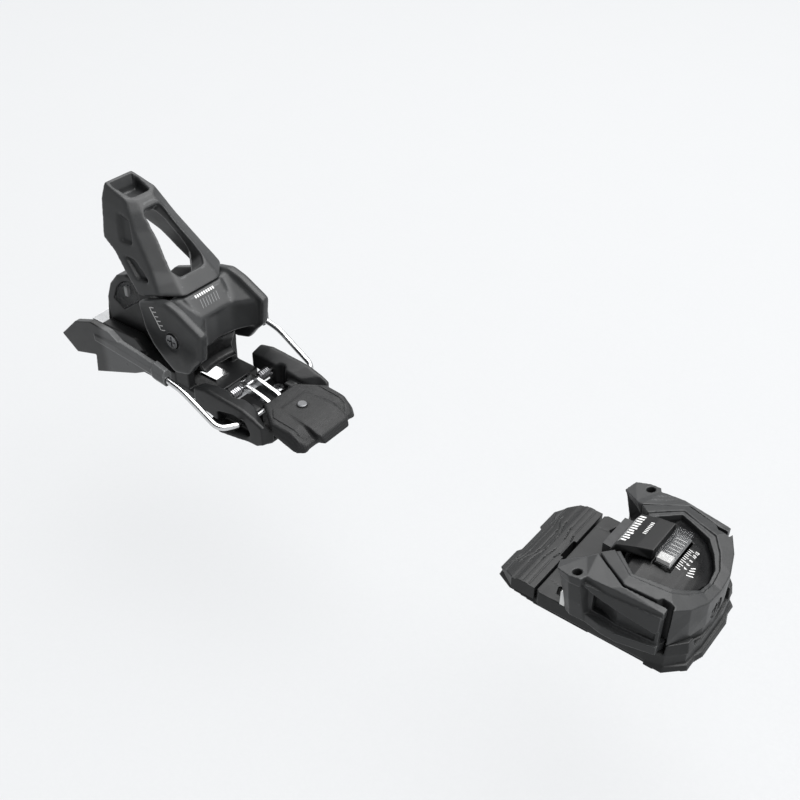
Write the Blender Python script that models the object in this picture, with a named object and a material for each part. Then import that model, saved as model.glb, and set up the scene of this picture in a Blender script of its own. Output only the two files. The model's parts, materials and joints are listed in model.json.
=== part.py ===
"""Alpine step-in ski binding: toe piece, heel piece and ski brake as mounted on a ski.

World frame: metres, +X towards the ski tip, +Y to the left, +Z up, z = 0 on the ski's top
surface, origin under the middle of the whole set. Lengths below are millimetres and become
metres in the helpers. Toe pieces are drawn from the toe station (line of the wing holes),
heel pieces from the heel station (line of the cup axle).
"""
import math

import bmesh
import bpy
from mathutils import Matrix, Vector

MM = 0.001

# Driving dimensions
TOE_X = 194.5             # toe station, from the origin
HEEL_X = -144.0           # heel station, from the origin
GAP = 0.3                 # clearance between touching pieces
CLEAR = 0.6               # clearance between pieces that move past each other

BASE_TOP = 12.6           # top of the toe base plate
HOUSING_FOOT = 20.0       # bottom of the toe housing's wall
TOE_SPRING_Z = 25.0       # release spring axis in the toe
AFD_HALF = 40.8           # half width of the sliding gliding plate
WING_PIVOT = (48.0, 35.0)     # toe wing pivot, x and |y| from the toe station
SCREW_HEAD = 4.6          # radius of a ski screw's head
SCREW_SHAFT = 2.7         # radius of a ski screw's shaft
SCREW_DEPTH = 4.0         # thickness of a ski screw's head

AXLE_Z = 57.0             # cup axle above the ski
LEVER_PIN = (-24.0, 74.0)     # lever hinge, x and z from the heel station
CUP_HALF = 35.2           # half width over the cup's side panels
FIN_HALF = 12.8           # half width of the spring housing

BRAKE_X = 62.0            # brake arm axis, from the heel station
BRAKE_Z = 13.0
WIRE_RADIUS = 2.4         # brake wire, 4.8 mm across
WIRE_HALF = 51.6          # half width over the brake wires' outer corners
PEDAL_X = 67.0            # pedal hinge, from the heel station
PEDAL_Z = 15.0

TOE = Vector((TOE_X, 0.0, 0.0))
HEEL = Vector((HEEL_X, 0.0, 0.0))

COLOURS = {
    "shell": ((0.075, 0.078, 0.082), 0.48, 0.0),
    "dark": ((0.030, 0.031, 0.033), 0.55, 0.0),
    "gloss": ((0.012, 0.012, 0.013), 0.12, 0.0),
    "grey": ((0.150, 0.153, 0.157), 0.50, 0.0),
    "steel": ((0.560, 0.565, 0.575), 0.25, 1.0),
    "zinc": ((0.330, 0.335, 0.345), 0.38, 1.0),
    "clear": ((0.270, 0.275, 0.280), 0.10, 0.0),
    "white": ((0.620, 0.620, 0.610), 0.40, 0.0),
}


def clear_scene():
    """Remove the objects that an open file already holds."""
    for obj in list(bpy.data.objects):
        bpy.data.objects.remove(obj, do_unlink=True)


def make_material(name, finish):
    """One Principled material for one sub-part."""
    colour, roughness, metallic = COLOURS[finish]
    material = bpy.data.materials.new(name + "_material")
    material.use_nodes = True
    shader = material.node_tree.nodes["Principled BSDF"]
    shader.inputs["Base Color"].default_value = (*colour, 1.0)
    shader.inputs["Roughness"].default_value = roughness
    shader.inputs["Metallic"].default_value = metallic
    return material


def make_node(name, bm, finish, at, origin=(0.0, 0.0, 0.0)):
    """Turn a bmesh in millimetres into a named object whose origin is at + origin."""
    bmesh.ops.translate(bm, vec=-Vector(origin), verts=bm.verts)
    bmesh.ops.scale(bm, vec=(MM, MM, MM), verts=bm.verts)
    bmesh.ops.recalc_face_normals(bm, faces=bm.faces)
    bmesh.ops.triangulate(bm, faces=bm.faces)
    mesh = bpy.data.meshes.new(name)
    bm.to_mesh(mesh)
    bm.free()
    mesh.shade_smooth()
    mesh.set_sharp_from_angle(angle=math.radians(30.0))
    mesh.materials.append(make_material(name, finish))
    obj = bpy.data.objects.new(name, mesh)
    obj.location = (Vector(at) + Vector(origin)) * MM
    bpy.context.collection.objects.link(obj)
    return obj


def loft_mesh(rings):
    """A closed body through equal rings of points, with both ends capped."""
    bm = bmesh.new()
    loops = [[bm.verts.new(point) for point in ring] for ring in rings]
    for first, second in zip(loops, loops[1:]):
        for i, corner in enumerate(first):
            j = (i + 1) % len(first)
            bm.faces.new((corner, first[j], second[j], second[i]))
    bm.faces.new(loops[0])
    bm.faces.new(loops[-1])
    return bm


def place(outline, height, axis):
    """Points of a flat outline at one height along an axis."""
    if axis == "Z":
        return [(a, b, height) for a, b in outline]
    if axis == "Y":
        return [(a, height, b) for a, b in outline]
    return [(height, a, b) for a, b in outline]


def prism_mesh(outline, low, high, axis="Z"):
    """An outline extruded along an axis."""
    return loft_mesh([place(outline, low, axis), place(outline, high, axis)])


def turn_mesh(profile, centre, axis, sides):
    """A body turned about an axis: profile points are (radius, place along the axis)."""
    rings = []
    for radius, along in profile:
        ring = []
        for k in range(sides):
            angle = 2.0 * math.pi * k / sides
            a = radius * math.cos(angle)
            b = radius * math.sin(angle)
            if axis == "Z":
                ring.append((centre[0] + a, centre[1] + b, centre[2] + along))
            elif axis == "Y":
                ring.append((centre[0] + a, centre[1] + along, centre[2] + b))
            else:
                ring.append((centre[0] + along, centre[1] + a, centre[2] + b))
        rings.append(ring)
    return loft_mesh(rings)


def box_mesh(low, high):
    """A block between two corners."""
    outline = [(low[0], low[1]), (high[0], low[1]), (high[0], high[1]), (low[0], high[1])]
    return prism_mesh(outline, low[2], high[2])


def tube_mesh(points, radius, sides=10):
    """A round wire along a path, its rings square to the path and mitred at bends."""
    path = [Vector(point) for point in points]
    rings = []
    side = None
    for i, point in enumerate(path):
        before = (point - path[i - 1]).normalized() if i else None
        after = (path[i + 1] - point).normalized() if i + 1 < len(path) else None
        heading = ((before or after) + (after or before)).normalized()
        if side is None:
            side = heading.orthogonal().normalized()
        side = (side - heading * side.dot(heading)).normalized()
        up = heading.cross(side)
        ring = []
        for k in range(sides):
            angle = 2.0 * math.pi * k / sides
            ring.append(point + radius * (side * math.cos(angle) + up * math.sin(angle)))
        rings.append(ring)
    return loft_mesh(rings)


def bend(before, corner, after, radius, steps=4):
    """Points that round a path's corner."""
    corner = Vector(corner)
    start = corner + (Vector(before) - corner).normalized() * radius
    end = corner + (Vector(after) - corner).normalized() * radius
    points = []
    for k in range(steps + 1):
        t = k / steps
        points.append(start * (1 - t) ** 2 + corner * 2 * t * (1 - t) + end * t ** 2)
    return points


def mirrored(outline):
    """A half outline of (x, y) points, closed by its mirror image over y = 0."""
    return outline + [(x, -y) for x, y in reversed(outline) if abs(y) > 1e-6]


def flip(points, side):
    """The same points on the left (side = 1) or on the right (side = -1)."""
    return [(x, y * side, z) for x, y, z in points]


def flip_mesh(bm, side):
    """A body drawn for the left side, moved to the side asked for."""
    if side < 0:
        bmesh.ops.scale(bm, vec=(1.0, -1.0, 1.0), verts=bm.verts)
    return bm


def combine(obj, tools, operation, at, origin=(0.0, 0.0, 0.0)):
    """Cut bodies out of an object, or join them to it, with exact Booleans."""
    for number, bm in enumerate(tools):
        label = "{}_{}_{}".format(obj.name, operation.lower(), number + len(obj.modifiers))
        tool = make_node(label, bm, "dark", at, origin)
        tool.hide_render = True
        tool.display_type = "WIRE"
        modifier = obj.modifiers.new(label, "BOOLEAN")
        modifier.object = tool
        modifier.operation = operation
        modifier.solver = "EXACT"
    return obj


def cut(obj, tools, at):
    return combine(obj, tools, "DIFFERENCE", at)


def fuse(obj, tools, at):
    return combine(obj, tools, "UNION", at)


def chamfer(obj, width, angle=35.0):
    """Break the sharp edges of an object."""
    modifier = obj.modifiers.new("edges", "BEVEL")
    modifier.width = width * MM
    modifier.segments = 1
    modifier.limit_method = "ANGLE"
    modifier.angle_limit = math.radians(angle)
    return obj


# ---------------------------------------------------------------- toe piece

def ski_screw(name, at, x, y, seat):
    """Mounting screw: flat head in its counterbore at the seat height, shaft to the ski."""
    profile = [(SCREW_SHAFT, GAP), (SCREW_SHAFT, seat), (SCREW_HEAD, seat),
               (SCREW_HEAD, seat + SCREW_DEPTH - 0.6), (SCREW_HEAD - 0.8, seat + SCREW_DEPTH)]
    screw = make_node(name, turn_mesh(profile, (x, y, 0.0), "Z", 16), "zinc", at)
    slot = [box_mesh((x - 3.2, y - 0.6, seat + 2.2), (x + 3.2, y + 0.6, seat + 9.0)),
            box_mesh((x - 0.6, y - 3.2, seat + 2.2), (x + 0.6, y + 3.2, seat + 9.0))]
    return cut(screw, slot, at)


def screw_holes(places, seat):
    """Counterbored holes for ski screws, open at the top."""
    profile = [(SCREW_SHAFT + GAP, -5.0), (SCREW_SHAFT + GAP, seat - GAP),
               (SCREW_HEAD + GAP, seat - GAP), (SCREW_HEAD + GAP, 60.0)]
    return [turn_mesh(profile, (x, y, 0.0), "Z", 16) for x, y in places]


TOE_SCREWS = ((-9.5, 21.5), (40.0, 20.0))     # x and |y| of the rear and front pairs
TOE_SEAT = 5.0


def lobe_mesh(side):
    """Raised lobe at a front corner of the base, just outside the housing."""
    foot = [(49.0, 38.6), (49.5, 40.6), (57.0, 39.0), (66.6, 29.0), (67.4, 21.5), (62.0, 22.0),
            (56.0, 34.0)]
    crown = [(56.8, 37.4), (57.0, 38.0), (57.6, 37.6), (65.4, 28.4), (66.0, 24.0), (62.0, 24.0),
             (58.0, 34.0)]
    rings = [[(x, y * side) for x, y in ring] for ring in (foot, crown)]
    return loft_mesh([place(rings[0], BASE_TOP - 1.0, "Z"), place(rings[1], HOUSING_FOOT - GAP, "Z")])


def toe_base_plate():
    """Flat plate under the whole toe piece, with a lobed nose and a low rear apron."""
    low = mirrored([(-57.0, 33.0), (-46.0, 38.6), (-27.0, 40.6), (46.0, 40.4), (46.5, 41.8),
                    (57.5, 41.2), (68.5, 30.6), (69.0, 22.0), (71.0, 16.0)])
    apron = mirrored([(-56.0, 31.0), (-46.0, 36.6), (-27.0, 39.0), (46.0, 38.6), (46.5, 40.2),
                      (57.5, 39.5), (67.5, 29.5), (68.0, 21.0), (70.0, 15.0)])
    base = make_node("toe_base_plate", loft_mesh([place(low, 0.0, "Z"), place(apron, 3.4, "Z")]),
                     "shell", TOE)
    deck = mirrored([(-26.0, 40.0), (-24.0, 41.6), (45.0, 40.8), (57.0, 39.0), (66.0, 29.0),
                     (67.0, 20.5), (68.0, 14.0)])
    plinth = mirrored([(53.0, 29.0), (56.5, 31.0), (62.0, 24.0), (66.4, 13.0), (67.4, 0.0)])
    rails = [box_mesh((-50.4, -17.0, 3.0), (-47.6, 17.0, 4.4)),
             box_mesh((-36.4, -17.0, 3.0), (-33.6, 17.0, 4.4))]
    fuse(base, [prism_mesh(deck, 2.0, BASE_TOP), prism_mesh(plinth, 10.0, HOUSING_FOOT - GAP),
                lobe_mesh(1), lobe_mesh(-1)] + rails, TOE)
    holes = screw_holes([(x, y * s) for x, y in TOE_SCREWS for s in (1, -1)], TOE_SEAT)
    notches = [prism_mesh([(-17.0, s * 30.0), (-9.0, s * 27.0), (-6.5, s * 31.0),
                           (-8.5, s * 36.0), (-15.0, s * 36.0)], -1.0, 20.0) for s in (1, -1)]
    x, y = WING_PIVOT
    pins = [turn_mesh([(2.5, 7.6), (2.5, 30.0)], (x, y * s, 0.0), "Z", 14) for s in (1, -1)]
    driver = turn_mesh([(7.0, 54.0), (7.0, 80.0)], (0.0, 0.0, TOE_SPRING_Z), "X", 18)
    swing = [turn_mesh([(7.2, BASE_TOP), (7.2, 30.0)], (x, y * s, 0.0), "Z", 20) for s in (1, -1)]
    swing += [wing_space(s, BASE_TOP, 30.0) for s in (1, -1)]
    return cut(base, holes + notches + pins + swing + [driver], TOE)


AFD_PROFILE = (
    # x and height of the gliding surface, from its low rear edge to the base plate
    (-57.5, 4.6), (-52.5, 7.6), (-50.5, 9.4), (-46.5, 11.0), (-44.5, 11.6), (-41.0, 12.2),
    (-39.0, 13.4), (-34.0, 13.9), (-32.0, 13.3), (-27.4, 13.2),
)


def gliding_plate():
    """Sliding plate under the boot toe, ribbed across, with a notched rear edge."""
    top = list(AFD_PROFILE)
    floor = [(-27.4, 3.4 + CLEAR), (-56.0, 3.4 + CLEAR)]
    outline = top + floor
    rings = [place(outline, y, "Y") for y in (-AFD_HALF, AFD_HALF)]
    plate = make_node("gliding_plate", loft_mesh(rings), "shell", TOE)
    notch = prism_mesh([(-70.0, -15.0), (-59.0, -15.0), (-54.5, -11.5), (-54.5, 11.5),
                        (-59.0, 15.0), (-70.0, 15.0)], -1.0, 30.0)
    corners = [prism_mesh([(-70.0, s * 31.0), (-57.5, s * 31.0), (-44.0, s * 40.2),
                           (-44.0, s * 50.0), (-70.0, s * 50.0)], -1.0, 30.0) for s in (1, -1)]
    key = prism_mesh([(-29.5, -8.0), (-20.0, -8.0), (-20.0, 8.0), (-29.5, 8.0)], -1.0, 30.0)
    guides = [box_mesh((-51.0, -26.0, 0.0), (-47.0, 26.0, 5.0)),
              box_mesh((-37.0, -26.0, 0.0), (-33.0, 26.0, 5.0))]
    return cut(plate, [notch, key] + corners + guides, TOE)


RING_STATIONS = (
    # outer foot, outer top, inner top, inner foot as (x, y, z), for the left half
    ((5.0, 25.5, 20.0), (3.5, 25.0, 50.0), (12.0, 17.5, 52.0), (14.0, 17.5, 40.0)),
    ((24.0, 34.5, 20.0), (25.5, 40.5, 51.0), (27.0, 30.5, 53.2), (27.0, 28.5, 38.0)),
    ((55.5, 40.5, 20.0), (55.5, 38.6, 47.5), (47.5, 24.5, 50.5), (46.5, 22.0, 34.0)),
    ((63.5, 26.0, 20.0), (62.5, 27.5, 43.5), (54.5, 17.5, 47.0), (53.5, 15.5, 34.0)),
    ((67.2, 12.0, 20.0), (67.2, 13.5, 40.5), (59.5, 9.5, 43.5), (57.5, 8.5, 34.0)),
    ((68.0, 0.0, 20.0), (68.0, 0.0, 39.5), (60.5, 0.0, 42.0), (58.5, 0.0, 34.0)),
)


def wing_space(side, low, high):
    """Room round a toe wing, from closed to fully open."""
    outline = [(-20.0, 60.0), (-20.0, 11.0), (1.5, 24.4), (27.0, 40.0), (46.0, 37.2),
               (48.0, 34.4), (55.4, 34.4), (56.2, 38.6), (55.4, 42.4), (55.4, 60.0)]
    return flip_mesh(prism_mesh(outline, low, high), side)


def toe_housing():
    """Faceted horseshoe round the front of the toe, open to the rear."""
    left = []
    for foot, top, crest, inner in RING_STATIONS:
        belt = (foot[0] + (top[0] - foot[0]) * 0.7, foot[1] + (top[1] - foot[1]) * 1.12,
                foot[2] + (top[2] - foot[2]) * 0.62)
        low_in = (inner[0] - 0.5, max(inner[1] - 0.5, 0.0), 20.0)
        left.append([foot, belt, top, crest, inner, low_in])
    right = [[(x, -y, z) for x, y, z in ring] for ring in reversed(left[:-1])]
    housing = make_node("toe_housing", loft_mesh(left + right), "shell", TOE)
    x, y = WING_PIVOT
    tools = [turn_mesh([(6.8, 50.0), (6.8, 80.0)], (0.0, 0.0, TOE_SPRING_Z), "X", 18)]
    for side in (1, -1):
        tools.append(wing_space(side, 19.0, 70.0))
        tools.append(turn_mesh([(2.5, 19.0), (2.5, 24.4)], (x, y * side, 0.0), "Z", 14))
    return cut(housing, tools, TOE)


DOME_STATIONS = (
    # x, half width, height at the centre, height at the edge
    (14.4, 15.6, 46.5, 44.0),
    (26.0, 26.0, 50.0, 42.0),
    (34.0, 25.4, 51.0, 41.0),
    (44.0, 20.6, 48.0, 39.5),
    (51.0, 14.6, 43.5, 38.0),
    (55.5, 7.8, 38.5, 36.5),
)


def toe_dome():
    """Glossy domed cover inside the horseshoe."""
    rings = []
    for x, half, crown, edge in DOME_STATIONS:
        ring = []
        for k in range(9):
            t = -1.0 + k / 4.0
            ring.append((x, half * t, crown - (crown - edge) * t * t))
        for k in range(9):
            t = 1.0 - k / 4.0
            ring.append((x, (half - 1.0) * t, crown - 3.0 - (crown - edge) * t * t))
        rings.append(ring)
    dome = make_node("toe_dome_cover", loft_mesh(rings), "gloss", TOE)
    window = box_mesh((31.0, -14.8, 30.0), (42.0, 14.8, 70.0))
    return cut(dome, [window], TOE)


def toe_hood():
    """Raised block behind the dome, with cut corners, and the spring tunnel under it."""
    foot = mirrored([(4.8, 16.8), (20.0, 16.8), (30.4, 14.6)])
    top = mirrored([(8.0, 16.0), (20.0, 15.0), (30.0, 13.8)])
    heights = {4.8: 49.0, 8.0: 51.8, 20.0: 56.0, 30.4: 57.0, 30.0: 58.4}
    low = [(x, y, 51.6 if x > 19.0 else 46.0) for x, y in foot]
    high = [(x, y, heights[x]) for x, y in top]
    hood = make_node("toe_hood", loft_mesh([low, high]), "dark", TOE)
    return hood


def toe_core():
    """Cast block that carries the spring and the cover."""
    body = mirrored([(-2.0, 14.0), (12.4, 15.0), (25.6, 26.4), (45.4, 20.4), (51.0, 14.0),
                     (52.0, 0.0)])
    core = make_node("toe_spring_case", prism_mesh(body, BASE_TOP + GAP, 30.5), "dark", TOE)
    head = mirrored([(-1.5, 12.6), (12.0, 13.6), (25.0, 24.0), (36.0, 21.5), (46.5, 13.5)])
    neck = mirrored([(-1.0, 13.3), (11.0, 14.3)])
    fuse(core, [prism_mesh(head, 27.0, 35.6), prism_mesh(neck, 30.0, 45.4)], TOE)
    axis = (2.0, 0.0, TOE_SPRING_Z)
    bore = turn_mesh([(4.0, -8.0), (4.0, 0.0), (9.2, 0.0), (9.2, 43.0), (4.0, 43.0), (4.0, 80.0)],
                     axis, "X", 20)
    pockets = [turn_mesh([(5.4, -1.0), (5.4, 40.0)], (x, y * s, 0.0), "Z", 16)
               for x, y in TOE_SCREWS for s in (1, -1)]
    return cut(core, [bore] + pockets, TOE)


def coil_mesh(centre, radius, wire, length, turns, sides=6, steps=10):
    """A compression spring along X, as one closed wire."""
    points = []
    count = turns * steps
    for k in range(count + 1):
        angle = 2.0 * math.pi * k / steps
        along = length * k / count
        points.append((centre[0] + along, centre[1] + radius * math.cos(angle),
                       centre[2] + radius * math.sin(angle)))
    return tube_mesh(points, wire, sides)


def toe_spring_parts():
    """Release spring, its plunger, its screw and the value pointer."""
    make_node("toe_spring", coil_mesh((12.0, 0.0, 25.0), 7.0, 1.3, 24.0, 5), "zinc", TOE)
    plunger = [(3.6, 2.6), (8.4, 2.6), (8.4, 7.0), (4.6, 7.0), (4.6, 9.6), (3.6, 9.6)]
    make_node("toe_spring_plunger", turn_mesh(plunger, (0.0, 0.0, 25.0), "X", 18), "zinc", TOE,
              origin=(6.0, 0.0, 25.0))
    seat = make_node("toe_spring_seat", turn_mesh([(8.2, 38.4), (8.2, 44.0)], (0.0, 0.0, 25.0),
                                                  "X", 18), "zinc", TOE, origin=(40.0, 0.0, 25.0))
    cut(seat, [turn_mesh([(4.8, 30.0), (4.8, 50.0)], (0.0, 0.0, 25.0), "X", 16)], TOE)


def wing_mesh(side):
    """Top of a toe wing: a block over the boot edge, and the arm's crest."""
    crest = [(-14.5, 38.0, 43.0), (-11.5, 46.5, 45.2), (-3.0, 49.0, 46.4), (4.5, 48.4, 47.4),
             (6.5, 44.8, 48.0), (9.5, 45.0, 48.2), (21.0, 45.4, 49.0), (53.0, 42.4, 46.6),
             (53.0, 38.2, 47.2), (46.5, 38.2, 47.6), (27.0, 41.2, 50.4), (3.0, 26.2, 49.6),
             (-2.0, 29.5, 46.6)]
    lower = [(x + (1.5 if x < 0 else 0.0), y - (0.4 if y > 42 else 0.0), 41.0) for x, y, z in crest]
    return flip_mesh(loft_mesh([lower, crest]), side)


def wing_post_mesh(side):
    """The block that holds the boot's sole edge, from the arm down to the base."""
    high = [(-12.5, 37.0), (-10.5, 45.6), (-3.0, 48.2), (4.0, 47.6), (8.0, 42.0), (2.0, 31.0)]
    middle = [(-7.5, 35.0), (-7.0, 44.6), (-1.5, 47.4), (6.0, 46.8), (9.0, 42.0), (5.0, 33.0)]
    low = [(-5.5, 40.0), (-4.5, 44.0), (-0.5, 46.0), (9.0, 45.6), (12.0, 42.6), (8.0, 36.6)]
    rings = [place(low, BASE_TOP + CLEAR, "Z"), place(middle, 27.0, "Z"), place(high, 42.0, "Z")]
    return flip_mesh(loft_mesh(rings), side)


def wing_arm_mesh(side):
    """Upright web of the arm."""
    web = [(5.0, 36.4), (8.0, 42.5), (20.0, 42.4), (26.5, 43.5), (52.2, 41.6), (52.6, 38.7),
           (46.4, 38.6), (27.0, 41.7), (16.0, 36.4)]
    return flip_mesh(prism_mesh(web, 17.6, 43.6), side)


def wing_flange_mesh(side):
    """Lower flange of the arm; its front end is the eye round the pivot pin."""
    x, y = WING_PIVOT
    eye = [(x + 6.4 * math.cos(a), y + 6.4 * math.sin(a))
           for a in [math.radians(d) for d in (40, 10, -20, -50, -80, -110, -140)]]
    flange = [(4.0, 38.0), (7.5, 45.2), (20.0, 47.8), (30.0, 48.2), (52.8, 43.0)] + eye
    flange += [(38.0, 36.0), (22.0, 35.2)]
    return flip_mesh(prism_mesh(flange, BASE_TOP + CLEAR, HOUSING_FOOT - CLEAR), side)


def toe_wings():
    """Left and right toe wings, each turning on its own pin."""
    for side, name in ((1, "toe_wing_left"), (-1, "toe_wing_right")):
        x, y = WING_PIVOT
        wing = make_node(name, wing_mesh(side), "shell", TOE, origin=(x, y * side, TOE_SPRING_Z))
        parts = [wing_post_mesh(side), wing_arm_mesh(side), wing_flange_mesh(side)]
        fuse(wing, parts, TOE)
        hole = turn_mesh([(2.9, 26.0), (2.9, 60.0)], (0.0, 43.8 * side, 0.0), "Z", 14)
        eye = turn_mesh([(2.6, 0.0), (2.6, 30.0)], (x, y * side, 0.0), "Z", 14)
        cut(wing, [hole, eye], TOE)
        label = "wing_pin_left" if side > 0 else "wing_pin_right"
        pin = turn_mesh([(2.2, 8.0), (2.2, 24.0)], (x, y * side, 0.0), "Z", 14)
        make_node(label, pin, "zinc", TOE)


def value_display():
    """Release value window and the white pointer under it."""
    pane = box_mesh((31.4, -14.4, 55.0), (41.6, 14.4, 56.6))
    make_node("value_window", pane, "clear", TOE)
    block = box_mesh((32.4, -13.6, 51.8), (40.6, -7.6, 54.6))
    make_node("toe_value_pointer", block, "white", TOE, origin=(36.0, -10.0, 53.0))


def toe_release_screw():
    """Release value screw in the nose of the toe."""
    x, z = 44.6, 25.0
    profile = [(3.4, x), (3.4, 55.5), (6.2, 55.5), (6.2, 66.4), (5.6, 67.0)]
    screw = make_node("toe_release_screw", turn_mesh(profile, (0.0, 0.0, z), "X", 18), "zinc", TOE,
                      origin=(x, 0.0, z))
    slot = [box_mesh((64.6, -5.0, z - 0.8), (70.0, 5.0, z + 0.8)),
            box_mesh((64.6, -0.8, z - 5.0), (70.0, 0.8, z + 5.0))]
    return cut(screw, slot, TOE)


def build_toe():
    toe_base_plate()
    gliding_plate()
    toe_housing()
    toe_dome()
    toe_hood()
    toe_core()
    toe_spring_parts()
    toe_wings()
    value_display()
    toe_release_screw()
    names = ("toe_screw_rear", "toe_screw_front")
    for (x, y), label in zip(TOE_SCREWS, names):
        ski_screw(label + "_left", TOE, x, y, TOE_SEAT)
        ski_screw(label + "_right", TOE, x, -y, TOE_SEAT)


# ---------------------------------------------------------------- heel piece

HEEL_SCREWS = ((-66.0, 10.0), (18.0, 10.0))   # x and |y| of the rear and front pairs
HEEL_SEAT = 3.0
ADJUSTER_Z = 14.6                             # forward pressure screw axis
HEEL_SPRING_Z = 48.0                          # release spring axis in the heel


def heel_track():
    """T-shaped track on the ski that the heel carriage slides along."""
    half = [(20.0, 0.0), (20.0, 2.6), (15.5, 2.6), (15.5, 4.6), (18.0, 4.6), (18.0, 7.6)]
    outline = half + [(-y, z) for y, z in reversed(half)]
    track = make_node("heel_track", prism_mesh(outline, -112.0, 28.0, "X"), "zinc", HEEL)
    return cut(track, screw_holes([(x, y * s) for x, y in HEEL_SCREWS for s in (1, -1)],
                                  HEEL_SEAT), HEEL)


def heel_carriage():
    """Body of the heel on the track: base, two lugs for the axle and a rear block."""
    half = [(26.0, 9.4), (26.0, 2.9), (15.8, 2.9), (15.8, 4.3), (18.3, 4.3), (18.3, 7.9)]
    outline = half + [(-y, z) for y, z in reversed(half)]
    base = make_node("heel_carriage", prism_mesh(outline, -56.0, 20.0, "X"), "dark", HEEL)
    lug = [(-15.0, 8.0), (-12.0, 40.0), (-9.0, 57.0), (-6.0, 63.0), (0.0, 66.0), (6.0, 63.0),
           (8.4, 57.0), (6.0, 48.0), (1.0, 38.0), (0.0, 8.0)]
    lugs = [prism_mesh(lug, 19.0 * s, 25.5 * s, "Y") for s in (1, -1)]
    middle = box_mesh((-56.0, -26.0, 8.4), (-14.0, 26.0, 18.0))
    rear = [(-104.0, 8.4), (-104.0, 20.0), (-98.0, 27.0), (-60.0, 28.0), (-48.0, 18.0),
            (-48.0, 8.4)]
    block = prism_mesh(rear, -22.0, 22.0, "Y")
    skirt = prism_mesh([(22.0, 9.4), (22.0, 2.9), (18.3, 2.9), (18.3, 7.9), (-18.3, 7.9),
                        (-18.3, 2.9), (-22.0, 2.9), (-22.0, 9.4)], -121.0, -55.0, "X")
    tail = prism_mesh([(-121.0, 8.0), (-121.0, 14.0), (-117.0, 20.0), (-103.0, 20.0),
                       (-100.0, 8.0)], -22.0, 22.0, "Y")
    fuse(base, lugs + [middle, block, skirt, tail], HEEL)
    side = FIN_HALF + GAP
    slot = box_mesh((-110.0, -side, 21.7), (-30.0, side, 60.0))
    screw = turn_mesh([(5.0, -125.0), (5.0, -116.0), (3.1, -116.0), (3.1, -98.0), (6.0, -98.0),
                       (6.0, -74.0), (3.1, -74.0), (3.1, -66.0)], (0.0, 0.0, ADJUSTER_Z), "X", 16)
    axle = turn_mesh([(3.3, -30.0), (3.3, 30.0)], (0.0, 0.0, AXLE_Z), "Y", 16)
    plate = box_mesh((-8.3, -6.6, 8.9), (9.3, 6.6, 12.0))
    return cut(base, [slot, screw, axle, plate], HEEL)


def heel_adjuster():
    """Forward pressure screw and its spring, in the rear of the carriage."""
    z = ADJUSTER_Z
    profile = [(2.6, -68.0), (2.6, -116.4), (4.6, -116.4), (4.6, -120.4)]
    screw = make_node("forward_pressure_screw", turn_mesh(profile, (0.0, 0.0, z), "X", 16), "zinc",
                      HEEL, origin=(-110.0, 0.0, z))
    cut(screw, [box_mesh((-124.0, -5.0, z - 0.7), (-118.6, 5.0, z + 0.7))], HEEL)
    coil = coil_mesh((-96.5, 0.0, z), 4.2, 0.9, 21.0, 5)
    make_node("forward_pressure_spring", coil, "zinc", HEEL)
    plate = box_mesh((-8.0, -6.3, 9.2), (9.0, 6.3, 11.0))
    make_node("carriage_steel_plate", plate, "steel", HEEL)
    top = box_mesh((-117.0, -17.0, 20.3), (-104.4, 17.0, 21.5))
    make_node("adjuster_cover_plate", top, "zinc", HEEL)


def spring_housing():
    """Narrow rounded housing for the heel release spring, behind the cup."""
    outline = [(-103.0, 22.0), (-99.0, 46.0), (-93.0, 60.0), (-84.0, 70.0), (-72.0, 75.0),
               (-58.0, 75.0), (-46.0, 70.0), (-40.0, 60.0), (-38.0, 30.0), (-38.0, 22.0)]
    housing = make_node("spring_housing", prism_mesh(outline, -FIN_HALF, FIN_HALF, "Y"), "dark",
                        HEEL)
    chamfer(housing, 1.2)
    axis = (0.0, 0.0, HEEL_SPRING_Z)
    bore = turn_mesh([(6.2, -110.0), (6.2, -93.0), (3.4, -93.0), (3.4, -88.0), (7.6, -88.0),
                      (7.6, -30.0)], axis, "X", 18)
    recess = [(-90.0, 48.5), (-84.0, 60.5), (-78.0, 66.5), (-70.0, 70.5), (-60.0, 70.5),
              (-60.0, 56.0), (-79.0, 42.5)]
    return cut(housing, [bore, prism_mesh(recess, -20.0, -8.2, "Y")], HEEL)


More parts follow.
